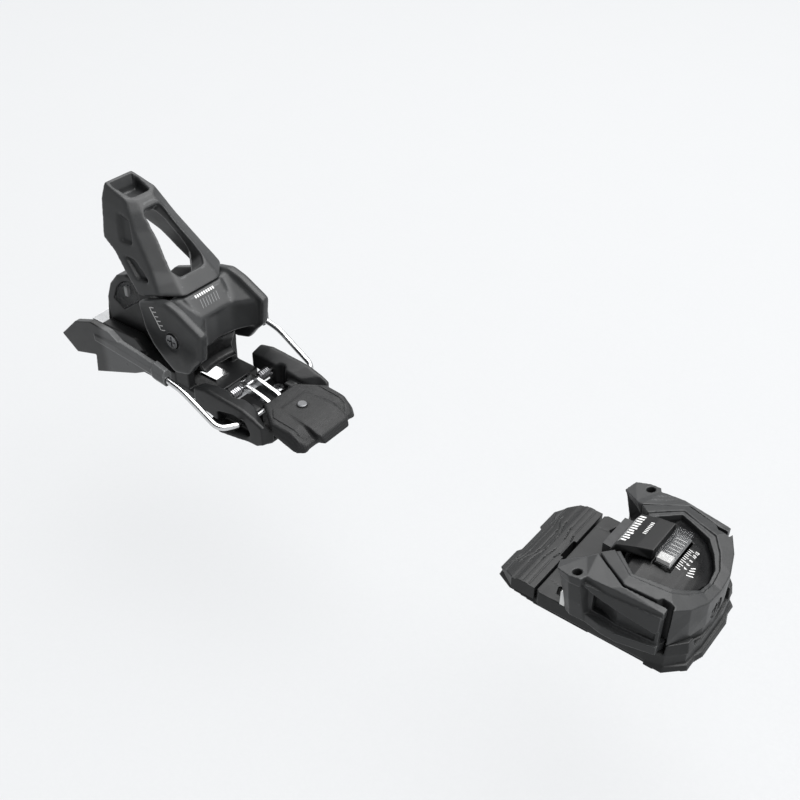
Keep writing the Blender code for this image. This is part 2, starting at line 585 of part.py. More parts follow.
def heel_spring_parts():
    """Release spring with its seat, plunger, value screw, pointer and window."""
    z = HEEL_SPRING_Z
    axis = (0.0, 0.0, z)
    make_node("heel_spring", coil_mesh((-80.0, 0.0, z), 5.7, 1.2, 27.0, 6), "zinc", HEEL)
    seat = make_node("heel_spring_seat", turn_mesh([(7.2, -86.0), (7.2, -82.0)], axis, "X", 18),
                     "zinc", HEEL, origin=(-84.0, 0.0, z))
    cut(seat, [turn_mesh([(3.3, -90.0), (3.3, -78.0)], axis, "X", 16)], HEEL)
    profile = [(7.2, -51.0), (7.2, -42.0), (4.6, -41.0), (4.6, -39.0), (3.6, -38.2)]
    make_node("heel_spring_plunger", turn_mesh(profile, axis, "X", 18), "zinc", HEEL,
              origin=(-46.0, 0.0, z))
    profile = [(5.8, -98.0), (5.8, -93.4), (2.9, -93.4), (2.9, -80.4)]
    screw = make_node("heel_release_screw", turn_mesh(profile, axis, "X", 16), "zinc", HEEL,
                      origin=(-90.0, 0.0, z))
    cut(screw, [box_mesh((-102.0, -4.6, z - 0.8), (-96.0, 4.6, z + 0.8)),
                box_mesh((-102.0, -0.8, z - 4.6), (-96.0, 0.8, z + 4.6))], HEEL)
    pane = [(-89.5, 48.6), (-83.6, 60.2), (-77.8, 66.1), (-69.9, 70.1), (-60.4, 70.1),
            (-60.4, 56.2), (-79.0, 43.1)]
    make_node("heel_value_window", prism_mesh(pane, -12.6, -11.6, "Y"), "clear", HEEL)
    pointer = box_mesh((-78.0, -11.1, 54.0), (-74.6, -8.6, 62.0))
    make_node("heel_value_pointer", pointer, "white", HEEL, origin=(-76.0, -10.0, 58.0))


CUP_SECTIONS = (
    # |y| and the side outline there
    (0.0, [(-12.0, 88.0), (10.5, 70.0), (10.5, 46.0), (3.0, 42.0), (-20.0, 42.0), (-28.0, 60.0),
           (-24.0, 84.0)]),
    (13.7, [(-6.0, 84.0), (12.5, 70.1), (12.5, 46.0), (3.0, 42.0), (-20.0, 42.0), (-28.0, 60.0),
            (-22.0, 80.6)]),
    (26.0, [(-3.0, 84.4), (24.0, 71.0), (22.0, 48.0), (10.0, 44.0), (-18.0, 44.0), (-28.0, 60.0),
            (-20.0, 80.4)]),
    (30.0, [(-5.0, 83.6), (27.6, 70.4), (25.2, 52.0), (13.0, 46.0), (-18.0, 50.0), (-25.0, 66.0),
            (-20.0, 80.0)]),
)


def heel_cup():
    """Cup that holds the boot heel, with side panels over the lugs."""
    stations = [(-y, outline) for y, outline in reversed(CUP_SECTIONS[1:])] + list(CUP_SECTIONS)
    rings = [[(x, y, z) for x, z in outline] for y, outline in stations]
    cup = make_node("heel_cup", loft_mesh(rings), "shell", HEEL, origin=(0.0, 0.0, AXLE_Z))
    panel = [(-33.0, 77.6), (-16.0, 84.0), (-3.0, 86.8), (9.0, 83.5), (31.0, 72.0), (28.0, 50.0),
             (19.0, 41.0), (12.0, 32.0), (-2.0, 28.0), (-12.0, 35.0), (-22.0, 44.0),
             (-29.0, 56.0), (-31.0, 68.0)]
    sides = []
    for s in (1, -1):
        inner = [(x, 27.0 * s, z) for x, z in panel]
        rim = [(x, 33.6 * s, z) for x, z in panel]
        outer = [(x * 0.95 - 0.1, CUP_HALF * s, 57.0 + (z - 57.0) * 0.94) for x, z in panel]
        sides.append(loft_mesh([inner, rim, outer]))
    fuse(cup, sides, HEEL)
    tools = []
    for s in (1, -1):
        y = sorted((17.7 * s, 26.6 * s))
        tools.append(box_mesh((-50.0, y[0], 20.0), (10.6, y[1], 68.0)))
        y = sorted((16.4 * s, 25.0 * s))
        tools.append(box_mesh((-50.0, y[0], 62.0), (-11.0, y[1], 100.0)))
        screw = turn_mesh([(5.9, 32.0 * s), (5.9, 40.0 * s)], (0.0, 0.0, AXLE_Z), "Y", 18)
        tools.append(screw)
    bed = [(-60.0, 110.0), (25.0, 110.0), (25.0, 72.0), (13.5, 69.4), (9.2, 66.0), (-13.0, 82.0),
           (-24.0, 80.3), (-36.0, 78.1), (-60.0, 74.0)]
    tools.append(loft_mesh([[(x, s * (14.2 + (z - 70.1) * 0.281), z) for x, z in bed]
                            for s in (1, -1)]))
    tools.append(turn_mesh([(3.3, -40.0), (3.3, 40.0)], (0.0, 0.0, AXLE_Z), "Y", 16))
    tools.append(turn_mesh([(2.3, -31.0), (2.3, 31.0)], (LEVER_PIN[0], 0.0, LEVER_PIN[1]), "Y", 14))
    return cut(cup, tools, HEEL)


STEP_SECTIONS = (
    # height of the back edge and of the front edge, x at the back, middle and sides, half width
    (40.4, 45.2, 1.0, 9.4, 11.2, 17.1),
    (36.0, 37.0, -1.5, 5.6, 7.6, 17.0),
    (28.5, 29.0, -3.0, 3.6, 5.4, 16.6),
    (23.6, 24.6, -2.0, 5.6, 8.0, 16.6),
    (21.6, 22.8, 1.0, 10.6, 12.4, 16.0),
)


def step_plate():
    """Curved treadle under the cup's lip; the boot heel pushes it down to close the heel."""
    rings = []
    for low, high, back, middle, edge, half in STEP_SECTIONS:
        front = [(middle + (edge - middle) * t * t, half * t, high) for t in (-1, -0.5, 0, 0.5, 1)]
        rings.append([(back, -half, low)] + front + [(back, half, low)])
    return make_node("step_plate", loft_mesh(rings), "dark", HEEL)


LEVER_SECTIONS = (
    # rear edge, side ridge and front edge as (x, z, |y|), from the top end down
    ((-78.0, 149.0, 13.0), (-56.0, 143.0, 14.5), (-50.0, 141.0, 7.0)),
    ((-80.0, 138.0, 16.0), (-50.0, 134.0, 17.0), (-44.0, 135.0, 8.0)),
    ((-80.0, 124.0, 18.0), (-44.0, 124.0, 20.0), (-33.0, 123.0, 9.0)),
    ((-79.0, 108.0, 21.0), (-34.0, 113.0, 23.0), (-22.0, 110.0, 13.0)),
    ((-64.0, 102.0, 24.0), (-24.0, 102.0, 26.0), (-13.0, 99.0, 14.5)),
    ((-52.0, 91.0, 27.0), (-17.0, 93.4, 29.0), (-8.7, 94.2, 16.0)),
    ((-36.0, 79.0, 30.4), (-13.0, 87.5, 31.0), (-0.9, 85.4, 18.0)),
)


LEVER_HOLLOW = (
    # height, front edge and its half width, side corner and its half width
    (127.0, -53.0, 7.0, -60.0, 12.0),
    (121.0, -41.5, 8.0, -50.0, 14.0),
    (110.5, -31.0, 10.0, -42.0, 16.6),
    (98.0, -25.0, 12.0, -33.0, 20.4),
    (70.0, -27.0, 13.7, -33.4, 27.0),
)


def hollow_rings():
    """Outline of the room inside the lever at several heights, open to the rear and below."""
    return [[(-110.0, -w, z), (side, -w, z), (front, -v, z), (front, v, z), (side, w, z),
             (-110.0, w, z)] for z, front, v, side, w in LEVER_HOLLOW]


def heel_lever():
    """Opening lever: forked body with a window, hollow at the back over the spring housing."""
    rings = []
    for section in LEVER_SECTIONS:
        half = [(x, y, z) for x, z, y in section]
        rings.append(half + [(x, -y, z) for x, y, z in reversed(half)])
    px, pz = LEVER_PIN
    lever = make_node("heel_lever", loft_mesh(rings), "shell", HEEL, origin=(px, 0.0, pz))
    cut(lever, [loft_mesh(hollow_rings())], HEEL)
    tongue = [(-33.0, 96.0), (-33.0, 80.0), (-28.0, 68.5), (-20.0, 68.5), (-17.0, 80.0),
              (-17.0, 94.0)]
    apron = [[(-5.0, 16.8, 89.6), (-5.0, -16.8, 89.6), (-14.0, -16.8, 84.8), (-14.0, 16.8, 84.8)],
             [(12.4, 13.7, 70.3), (12.4, -13.7, 70.3), (9.2, -12.6, 66.8), (9.2, 12.6, 66.8)]]
    fuse(lever, [prism_mesh(tongue, 17.0 * s, 24.4 * s, "Y") for s in (1, -1)]
         + [loft_mesh(apron)], HEEL)
    tools = []
    along = Vector((0.65, 0.0, -0.76))
    inward = Vector((-0.76, 0.0, -0.65))
    start = Vector((-44.6, 0.0, 135.0))
    window = mirrored([(0.0, 6.5), (3.0, 8.0), (22.0, 10.0), (36.0, 13.0), (46.0, 14.4),
                       (52.6, 11.0)])
    rings = []
    for depth in (-12.0, 34.0):
        rings.append([start + along * s + inward * depth + Vector((0.0, y, 0.0)) for s, y in window])
    tools.append(loft_mesh(rings))
    tools.append(prism_mesh([(-73.0, 10.5), (-55.0, 8.0), (-55.0, -8.0), (-73.0, -10.5)], 136.0,
                            170.0))
    for s in (1, -1):
        upper = [(-62.0, 131.0), (-50.0, 129.0), (-45.0, 113.0), (-58.0, 112.0)]
        lower = [(-54.0, 103.0), (-42.0, 103.0), (-24.0, 92.5), (-38.0, 90.5)]
        for outline, top, depth, lean in ((upper, 131.0, 15.0, 0.18), (lower, 103.0, 20.7, 0.24)):
            tools.append(loft_mesh([[(x, s * (depth + out + (top - z) * lean), z)
                                     for x, z in outline] for out in (0.0, 20.0)]))
    tools.append(turn_mesh([(2.3, -31.0), (2.3, 31.0)], (px, 0.0, pz), "Y", 14))
    return cut(lever, tools, HEEL)


def heel_pins():
    """Cup axle with its two slotted screws, and the lever's pin."""
    axle = make_node("pivot_axle", turn_mesh([(3.0, -31.6), (3.0, 31.6)], (0.0, 0.0, AXLE_Z), "Y",
                                             16), "zinc", HEEL)
    cut(axle, [turn_mesh([(1.9, s * 22.0), (1.9, s * 34.0)], (0.0, 0.0, AXLE_Z), "Y", 14)
               for s in (1, -1)], HEEL)
    for s, name in ((1, "axle_screw_left"), (-1, "axle_screw_right")):
        profile = [(1.6, 23.0 * s), (1.6, 32.3 * s), (5.5, 32.3 * s), (5.5, 35.6 * s)]
        screw = make_node(name, turn_mesh(profile, (0.0, 0.0, AXLE_Z), "Y", 18), "zinc", HEEL)
        y = sorted((34.2 * s, 40.0 * s))
        cut(screw, [box_mesh((-4.4, y[0], AXLE_Z - 0.7), (4.4, y[1], AXLE_Z + 0.7)),
                    box_mesh((-0.7, y[0], AXLE_Z - 4.4), (0.7, y[1], AXLE_Z + 4.4))], HEEL)
    px, pz = LEVER_PIN
    make_node("lever_pin", turn_mesh([(2.0, -30.0), (2.0, 30.0)], (px, 0.0, pz), "Y", 14), "zinc",
              HEEL)


# ---------------------------------------------------------------- ski brake

WALL_SECTIONS = (
    # x, height of the outer edge, of the crest and of the inner edge, |y| of the inner edge
    (17.0, 24.0, 25.0, 22.5, 24.0),
    (30.0, 27.0, 28.0, 24.5, 22.6),
    (58.0, 25.6, 26.6, 23.0, 21.6),
    (66.0, 25.0, 26.0, 21.0, 22.4),
    (78.0, 21.5, 22.5, 15.0, 27.2),
)
LINK_PIN = (38.0, 17.0)


def brake_wall(side):
    rings = []
    for x, outer, crest, inner, reach in WALL_SECTIONS:
        low = 0.5 if x > 31.0 else 8.0
        clear = 0.5 if x > 31.0 else 10.4
        ring = [(x, reach, clear), (x, 36.0, low), (x, 36.0, outer), (x, 33.5, crest),
                (x, reach, inner)]
        rings.append(flip(ring, side))
    front = [(87.5, 27.2, 4.0), (84.0, 36.0, 4.0), (84.0, 36.0, 18.6), (85.0, 33.5, 19.6),
             (87.5, 27.2, 12.0)]
    rings.append(flip(front, side))
    return loft_mesh(rings)


def brake_housing():
    """Base of the ski brake: a floor on the ski and two side walls round the pedal."""
    floor = mirrored([(31.0, 34.0), (38.0, 39.0), (46.0, 40.4), (63.0, 37.4), (79.0, 33.2),
                      (84.0, 27.0)])
    rim = mirrored([(31.5, 33.5), (38.3, 38.2), (46.0, 39.2), (62.6, 36.6), (78.4, 32.8),
                    (83.0, 27.0)])
    housing = make_node("brake_housing", loft_mesh([place(floor, 0.0, "Z"), place(floor, 2.6, "Z"),
                                                    place(rim, 4.0, "Z")]), "shell", HEEL)
    blocks = [box_mesh((57.0, s * 19.0 - 3.5, 2.0), (66.2, s * 19.0 + 3.5, 17.4)) for s in (1, -1)]
    fuse(housing, [brake_wall(1), brake_wall(-1)] + blocks, HEEL)
    tools = []
    for s in (1, -1):
        y = sorted((29.5 * s, 45.0 * s))
        tools.append(prism_mesh([(40.0, 4.6), (40.0, 14.0), (56.0, 18.0), (68.0, 17.0),
                                 (72.0, 8.0), (69.0, 4.6)], y[0], y[1], "Y"))
        tools.append(turn_mesh([(2.8, 14.0 * s), (2.8, 40.0 * s)], (BRAKE_X, 0.0, BRAKE_Z), "Y", 16))
        tools.append(turn_mesh([(SCREW_SHAFT + GAP, -5.0), (SCREW_SHAFT + GAP, 4.0),
                                (SCREW_HEAD + 0.8, 4.0), (SCREW_HEAD + 0.8, 34.0)],
                               (48.0, 20.0 * s, 0.0), "Z", 16))
    tools.append(turn_mesh([(1.9, -32.0), (1.9, 32.0)], (PEDAL_X, 0.0, PEDAL_Z), "Y", 14))
    tools.append(turn_mesh([(1.9, -29.0), (1.9, 29.0)], (LINK_PIN[0], 0.0, LINK_PIN[1]), "Y", 14))
    return cut(housing, tools, HEEL)


def brake_screws():
    for s, name in ((1, "brake_screw_left"), (-1, "brake_screw_right")):
        profile = [(SCREW_SHAFT, GAP), (SCREW_SHAFT, 4.3), (SCREW_HEAD, 4.3), (SCREW_HEAD, 6.6),
                   (SCREW_HEAD - 1.0, 7.4)]
        screw = make_node(name, turn_mesh(profile, (48.0, 20.0 * s, 0.0), "Z", 16), "zinc", HEEL)
        y = 20.0 * s
        cut(screw, [box_mesh((44.8, y - 0.6, 5.6), (51.2, y + 0.6, 10.0)),
                    box_mesh((47.4, y - 3.2, 5.6), (48.6, y + 3.2, 10.0))], HEEL)


PEDAL_SECTIONS = (
    # x, half width, top, bottom edge of the side, underside
    (68.6, 17.6, 22.0, 19.2, 19.0),
    (76.0, 23.0, 22.2, 18.8, 17.4),
    (87.9, 31.0, 22.0, 19.4, 17.0),
    (88.4, 32.0, 21.8, 14.0, 15.0),
    (105.0, 32.0, 20.6, 9.0, 13.0),
    (111.0, 31.0, 16.0, 7.0, 9.0),
    (116.0, 27.0, 12.0, 6.6, 7.6),
)


def brake_pedal():
    """Brake pedal under the boot, with a raised pad down its middle."""
    rings = []
    for x, half, top, edge, under in PEDAL_SECTIONS:
        half_ring = [(x, half * 0.72, under), (x, half, edge), (x, half * 0.97, (top + edge) / 2),
                     (x, half * 0.88, top)]
        rings.append(half_ring + [(x, -y, z) for x, y, z in reversed(half_ring)])
    pedal = make_node("brake_pedal", loft_mesh(rings), "shell", HEEL,
                      origin=(PEDAL_X, 0.0, PEDAL_Z))
    pad = [(82.0, 12.0, 17.0), (82.0, 12.0, 22.6), (104.0, 15.5, 22.0), (112.0, 15.8, 20.6),
           (120.0, 15.0, 17.0), (123.0, 13.0, 10.0), (112.0, 15.0, 8.6)]
    rings = [[(x, y * s, z) for x, y, z in pad] for s in (1, -1)]
    lugs = [prism_mesh([(64.0, 12.0), (70.4, 12.0), (76.0, 17.6), (76.0, 21.0), (69.5, 21.6),
                        (64.0, 18.0)], s * 11.0, s * 14.6, "Y") for s in (1, -1)]
    fuse(pedal, [loft_mesh(rings)] + lugs, HEEL)
    rivet = turn_mesh([(4.1, 21.2), (4.1, 30.0)], (90.0, 0.0, 0.0), "Z", 18)
    hole = turn_mesh([(1.9, -20.0), (1.9, 20.0)], (PEDAL_X, 0.0, PEDAL_Z), "Y", 14)
    cut(pedal, [rivet, hole], HEEL)
    make_node("pedal_rivet", turn_mesh([(3.8, 21.5), (3.8, 22.9), (3.0, 23.3)], (90.0, 0.0, 0.0),
                                       "Z", 18), "zinc", HEEL)
    make_node("pedal_pin", turn_mesh([(1.6, -31.0), (1.6, 31.0)], (PEDAL_X, 0.0, PEDAL_Z), "Y",
                                     14), "zinc", HEEL)


def brake_arms():
    """Wire arms of the brake, each with a plastic sleeve and claw at its rear end."""
    for s, side in ((1, "left"), (-1, "right")):
        inner = (BRAKE_X, 16.6 * s, BRAKE_Z)
        knee = (BRAKE_X, 37.0 * s, BRAKE_Z)
        corner = (55.0, (WIRE_HALF - WIRE_RADIUS) * s, 13.4)
        elbow = (21.5, 50.0 * s, 32.6)
        tip = (-34.0, 50.0 * s, 42.2)
        path = [inner] + bend(inner, knee, corner, 3.0, 2) + bend(knee, corner, elbow, 6.0, 4)
        path += bend(corner, elbow, tip, 6.0, 3) + [tip]
        make_node("brake_wire_" + side, tube_mesh(path, WIRE_RADIUS, 10), "steel", HEEL,
                  origin=(BRAKE_X, 0.0, BRAKE_Z))
        sleeve_rings = []
        for x, z, radius in ((8.0, 37.0, 7.4), (-3.0, 39.0, 8.2), (-4.5, 39.2, 6.4),
                             (-20.0, 41.0, 6.6), (-42.0, 43.0, 7.0), (-66.0, 43.0, 5.6)):
            sleeve_rings.append([(x, (50.0 + 0.62 * radius * math.cos(math.pi * (k + 0.5) / 4)) * s,
                                  z + radius * math.sin(math.pi * (k + 0.5) / 4))
                                 for k in range(8)])
        sleeve = make_node("arm_sleeve_" + side, loft_mesh(sleeve_rings), "dark", HEEL,
                           origin=(BRAKE_X, 0.0, BRAKE_Z))
        claw = [(-38.0, 48.0), (-49.0, 54.0), (-69.0, 55.0), (-88.0, 48.0), (-107.0, 30.0),
                (-92.0, 19.0), (-69.0, 26.0), (-71.0, 10.0), (-25.0, 28.0), (-12.0, 35.0),
                (-12.0, 42.0)]
        fuse(sleeve, [prism_mesh(claw, 47.4 * s, 52.6 * s, "Y")], HEEL)
        bore = tube_mesh([Vector(tip) + (Vector(tip) - Vector(elbow)) * 0.03,
                          Vector(elbow)], WIRE_RADIUS + GAP, 12)
        cut(sleeve, [bore], HEEL)


def brake_links():
    """Steel links from the brake floor to the pedal, their pin and the return springs."""
    px, pz = LINK_PIN
    for s, side in ((1, "left"), (-1, "right")):
        bar = [(px - 3.2, pz - 3.2), (px + 3.0, pz - 3.4), (61.0, 10.6), (63.0, 12.0),
               (63.0, 14.6), (61.0, 16.0), (px + 3.0, pz + 3.4), (px - 3.2, pz + 3.2)]
        y = sorted((4.2 * s, 6.8 * s))
        link = make_node("brake_link_" + side, prism_mesh(bar, y[0], y[1], "Y"), "steel", HEEL,
                         origin=(px, 0.0, pz))
        cut(link, [turn_mesh([(1.9, 2.0 * s), (1.9, 9.0 * s)], (px, 0.0, pz), "Y", 14)], HEEL)
        points = []
        for k in range(49):
            angle = math.pi * k / 4.0
            points.append((px + 3.4 * math.cos(angle), (10.0 + 10.0 * k / 48.0) * s,
                           pz + 3.4 * math.sin(angle)))
        make_node("brake_spring_" + side, tube_mesh(points, 0.8, 6), "zinc", HEEL)
    make_node("link_pin", turn_mesh([(1.6, -28.4), (1.6, 28.4)], (px, 0.0, pz), "Y", 14), "zinc",
              HEEL)


def build_heel():
    heel_track()
    heel_carriage()
    heel_adjuster()
    spring_housing()
    heel_spring_parts()
    heel_cup()
    step_plate()
    heel_lever()
    heel_pins()
    for (x, y), label in zip(HEEL_SCREWS, ("heel_screw_rear", "heel_screw_front")):
        ski_screw(label + "_left", HEEL, x, y, HEEL_SEAT)
        ski_screw(label + "_right", HEEL, x, -y, HEEL_SEAT)
    brake_housing()
    brake_screws()
    brake_pedal()
    brake_arms()
    brake_links()

clear_scene()
build_toe()
build_heel()
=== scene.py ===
import json
import math

import bmesh
import bpy
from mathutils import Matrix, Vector
from mathutils.bvhtree import BVHTree


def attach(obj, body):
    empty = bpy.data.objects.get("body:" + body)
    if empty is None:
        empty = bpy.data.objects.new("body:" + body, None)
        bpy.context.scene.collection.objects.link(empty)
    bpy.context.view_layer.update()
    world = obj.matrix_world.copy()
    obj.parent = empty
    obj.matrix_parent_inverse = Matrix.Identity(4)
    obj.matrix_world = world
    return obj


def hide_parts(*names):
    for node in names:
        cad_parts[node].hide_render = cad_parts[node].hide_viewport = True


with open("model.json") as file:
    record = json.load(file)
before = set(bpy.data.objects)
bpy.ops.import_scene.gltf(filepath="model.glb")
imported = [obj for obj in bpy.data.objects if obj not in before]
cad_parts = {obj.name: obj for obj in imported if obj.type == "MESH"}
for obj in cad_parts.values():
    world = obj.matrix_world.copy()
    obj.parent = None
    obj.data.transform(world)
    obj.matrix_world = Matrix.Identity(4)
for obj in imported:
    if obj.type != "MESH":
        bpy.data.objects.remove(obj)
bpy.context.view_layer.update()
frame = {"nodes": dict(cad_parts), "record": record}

MM = 0.001
TOE = Vector((194.5, 0.0, 0.0))      # toe station in the frame, mm
HEEL = Vector((-144.0, 0.0, 0.0))    # heel station in the frame, mm
NODE_BODY = {n: body for body, names in frame["record"]["behaviour"]["bodies"].items()
             for n in names}


# ---------------------------------------------------------------- materials

class Graph:
    """A node tree under construction, with one call per node."""

    def __init__(self, name):
        self.material = bpy.data.materials.new(name)
        self.material.use_nodes = True
        self.tree = self.material.node_tree
        self.shader = self.tree.nodes["Principled BSDF"]
        self.coords = self.node("ShaderNodeTexCoord").outputs["Object"]

    def node(self, kind, settings=None, **sockets):
        made = self.tree.nodes.new(kind)
        for key, value in (settings or {}).items():
            setattr(made, key, value)
        for key, value in sockets.items():
            self.set(made, key.replace("_", " "), value)
        return made

    def set(self, made, key, value):
        socket = made.inputs[int(key)] if key.isdigit() else made.inputs[key]
        if isinstance(value, bpy.types.NodeSocket):
            self.tree.links.new(value, socket)
        else:
            socket.default_value = value

    def noise(self, size, detail=3.0, roughness=0.55, stretch=None):
        """Noise of the given feature size in millimetres, optionally stretched along axes."""
        vector = self.coords
        if stretch:
            vector = self.node("ShaderNodeMapping", Vector=vector, Scale=stretch).outputs[0]
        made = self.node("ShaderNodeTexNoise", Vector=vector, Scale=1.0 / (size * MM),
                         Detail=detail, Roughness=roughness)
        return made.outputs["Fac"]

    def remap(self, value, low, high, to_low, to_high, smooth=False):
        kind = {"interpolation_type": "SMOOTHSTEP" if smooth else "LINEAR", "clamp": True}
        return self.node("ShaderNodeMapRange", kind, Value=value, From_Min=low, From_Max=high,
                         To_Min=to_low, To_Max=to_high).outputs[0]

    def math(self, operation, first, second=0.0):
        made = self.node("ShaderNodeMath", {"operation": operation})
        self.set(made, "0", first)
        self.set(made, "1", second)
        return made.outputs[0]

    def mix(self, amount, first, second):
        made = self.node("ShaderNodeMix", {"data_type": "RGBA"})
        self.set(made, "0", amount)
        self.set(made, "6", first)
        self.set(made, "7", second)
        return made.outputs[2]

    def bump(self, height, distance, strength=1.0, normal=None):
        made = self.node("ShaderNodeBump", Height=height, Distance=distance * MM,
                         Strength=strength)
        if normal is not None:
            self.set(made, "Normal", normal)
        return made.outputs[0]

    def surface(self, **sockets):
        for key, value in sockets.items():
            self.set(self.shader, key.replace("_", " "), value)
        return self.material


SPECULAR = 0.25          # moulded plastics reflect a little less than the default
EDGE_WEAR_AND_HIGHLIGHT = 3.2             # brightness of a convex edge over its plastic: partly rubbed wear, partly painted highlight
CREVICE_PAINTED_SHADE = 0.12            # brightness of a tight inner corner, painted shade in creases and grooves
KNOB_PITCH = 1.5         # of the pedal's tread, mm
KNOB_SLANT = 0.55


def shade(colour, factor):
    return tuple(c * factor for c in colour) + (1.0,)


def moulded(name, colour, rough, grain=0.35, depth=0.018, mottle=0.10, wear_and_highlight=0.5, fade=None):
    """Injection-moulded plastic: spark-eroded grain, faint flow mottling, rubbed edges with
    painted highlight, painted shade in inner corners.

    fade darkens the part behind a station: (x of dark end, x of light end, factor), in mm.
    """
    g = Graph(name)
    broad = g.noise(26.0, 4.0)
    fine = g.noise(grain, 2.0, 0.7)
    pits = g.noise(grain * 2.6, 3.0, 0.6)
    tone = g.remap(broad, 0.3, 0.7, 0.0, 1.0)
    body = g.mix(tone, shade(colour, 1.0 - mottle), shade(colour, 1.0 + mottle))
    body = g.mix(g.remap(fine, 0.35, 0.75, 0.0, 0.35), body, shade(colour, 1.45))
    edge = g.node("ShaderNodeNewGeometry").outputs["Pointiness"]
    # Convex edges are lightened: partly rubbed wear, partly painted highlight.
    wear_and_highlight_mask = g.math("MULTIPLY", g.remap(edge, 0.510, 0.575, 0.0, wear_and_highlight, True),
                 g.remap(g.noise(3.5, 5.0), 0.35, 0.62, 0.25, 1.0))
    body = g.mix(wear_and_highlight_mask, body, shade(colour, EDGE_WEAR_AND_HIGHLIGHT))
    # Tight inner corners and grooves are darkened as painted shade.
    body = g.mix(g.remap(edge, 0.425, 0.490, 0.85, 0.0, True), body, shade(colour, CREVICE_PAINTED_SHADE))
    if fade:
        along = g.node("ShaderNodeSeparateXYZ", Vector=g.coords).outputs[0]
        amount = g.remap(along, fade[0] * MM, fade[1] * MM, 1.0, 0.0, True)
        body = g.mix(amount, body, shade(colour, fade[2]))
    gloss = g.remap(g.noise(9.0, 4.0), 0.3, 0.7, rough - 0.05, rough + 0.06)
    gloss = g.math("SUBTRACT", gloss, g.math("MULTIPLY", wear_and_highlight_mask, 0.10))
    height = g.math("ADD", fine, g.math("MULTIPLY", pits, 0.8))
    return g.surface(Base_Color=body, Roughness=gloss, Specular_IOR_Level=SPECULAR,
                     Normal=g.bump(height, depth, 0.8))


def metal(name, colour, rough, stretch=(0.06, 1.0, 1.0), line=0.25, depth=0.006, tarnish=0.25):
    """Plated or polished steel: fine drawing lines, smudges and a little tarnish."""
    g = Graph(name)
    lines = g.noise(line, 2.0, 0.6, stretch)
    smudge = g.noise(7.0, 5.0)
    spots = g.remap(g.noise(1.6, 4.0), 0.60, 0.72, 0.0, tarnish, True)
    body = g.mix(g.remap(smudge, 0.3, 0.7, 0.0, 1.0), shade(colour, 0.86), shade(colour, 1.06))
    body = g.mix(spots, body, shade(colour, 0.55))
    gloss = g.remap(lines, 0.3, 0.7, rough - 0.06, rough + 0.08)
    gloss = g.math("ADD", gloss, g.math("MULTIPLY", spots, 0.25))
    return g.surface(Base_Color=body, Roughness=gloss, Metallic=1.0,
                     Normal=g.bump(lines, depth, 0.6))


def gloss_black(name):
    """Polished black cover: clear gloss with the finest of swirls and dust."""
    g = Graph(name)
    colour = (0.0018, 0.0019, 0.0021)
    swirl = g.noise(0.9, 4.0, 0.6, (1.0, 0.25, 1.0))
    dust = g.remap(g.noise(0.5, 2.0, 0.8), 0.66, 0.80, 0.0, 0.5)
    body = g.mix(dust, shade(colour, 1.0), shade(colour, 3.5))
    gloss = g.remap(swirl, 0.35, 0.7, 0.26, 0.34)
    return g.surface(Base_Color=body, Roughness=gloss, Specular_IOR_Level=0.16,
                     Coat_Weight=0.04, Coat_Roughness=0.22,
                     Normal=g.bump(g.noise(14.0, 2.0), 0.02, 0.4))


def clear_pane(name):
    """Clear lens of a value window, lightly smoked, with hairline scratches."""
    g = Graph(name)
    scratch = g.remap(g.noise(0.35, 2.0, 0.5, (1.0, 0.05, 1.0)), 0.66, 0.78, 0.0, 1.0)
    gloss = g.remap(scratch, 0.0, 1.0, 0.06, 0.2)
    tint = g.mix(g.noise(5.0), (0.05, 0.052, 0.055, 1.0), (0.08, 0.083, 0.086, 1.0))
    return g.surface(Base_Color=tint, Roughness=gloss, Alpha=0.16)


def print_white(name, colour=(0.50, 0.50, 0.495)):
    """Printed or moulded white, slightly uneven and rubbed."""
    g = Graph(name)
    worn = g.remap(g.noise(0.8, 5.0, 0.65), 0.58, 0.74, 0.0, 0.45, True)
    body = g.mix(g.noise(3.0), shade(colour, 0.92), shade(colour, 1.05))
    body = g.mix(worn, body, shade(colour, 0.45))
    return g.surface(Base_Color=body, Roughness=g.remap(g.noise(0.6), 0.3, 0.7, 0.38, 0.52),
                     Normal=g.bump(g.noise(0.25), 0.01, 0.4))


def pedal_pad(name, colour, rough):
    """Tread of the brake pedal: a fine raised diamond pattern over moulded plastic."""
    g = Graph(name)
    split = g.node("ShaderNodeSeparateXYZ", Vector=g.coords)
    wave = []
    for sign in (1.0, -1.0):
        across = g.math("MULTIPLY", split.outputs[1], KNOB_SLANT * sign)
        slant = g.math("ADD", split.outputs[0], across)
        wave.append(g.math("SINE", g.math("MULTIPLY", slant, 2.0 * math.pi / (KNOB_PITCH * MM))))
    knobs = g.remap(g.math("MULTIPLY", wave[0], wave[1]), 0.0, 0.55, 0.0, 1.0, True)
    worn = g.remap(g.noise(8.0, 4.0), 0.35, 0.7, 0.0, 1.0)
    # Hollows between the knobs are painted darker than the tops as painted shade; the tops are
    # lighter at random as wear.
    body = g.mix(knobs, shade(colour, 0.80), g.mix(worn, shade(colour, 1.1), shade(colour, 1.4)))
    gloss = g.remap(g.noise(5.0), 0.3, 0.7, rough - 0.04, rough + 0.08)
    return g.surface(Base_Color=body, Roughness=gloss, Specular_IOR_Level=SPECULAR,
                     Normal=g.bump(knobs, 0.16, 0.8))


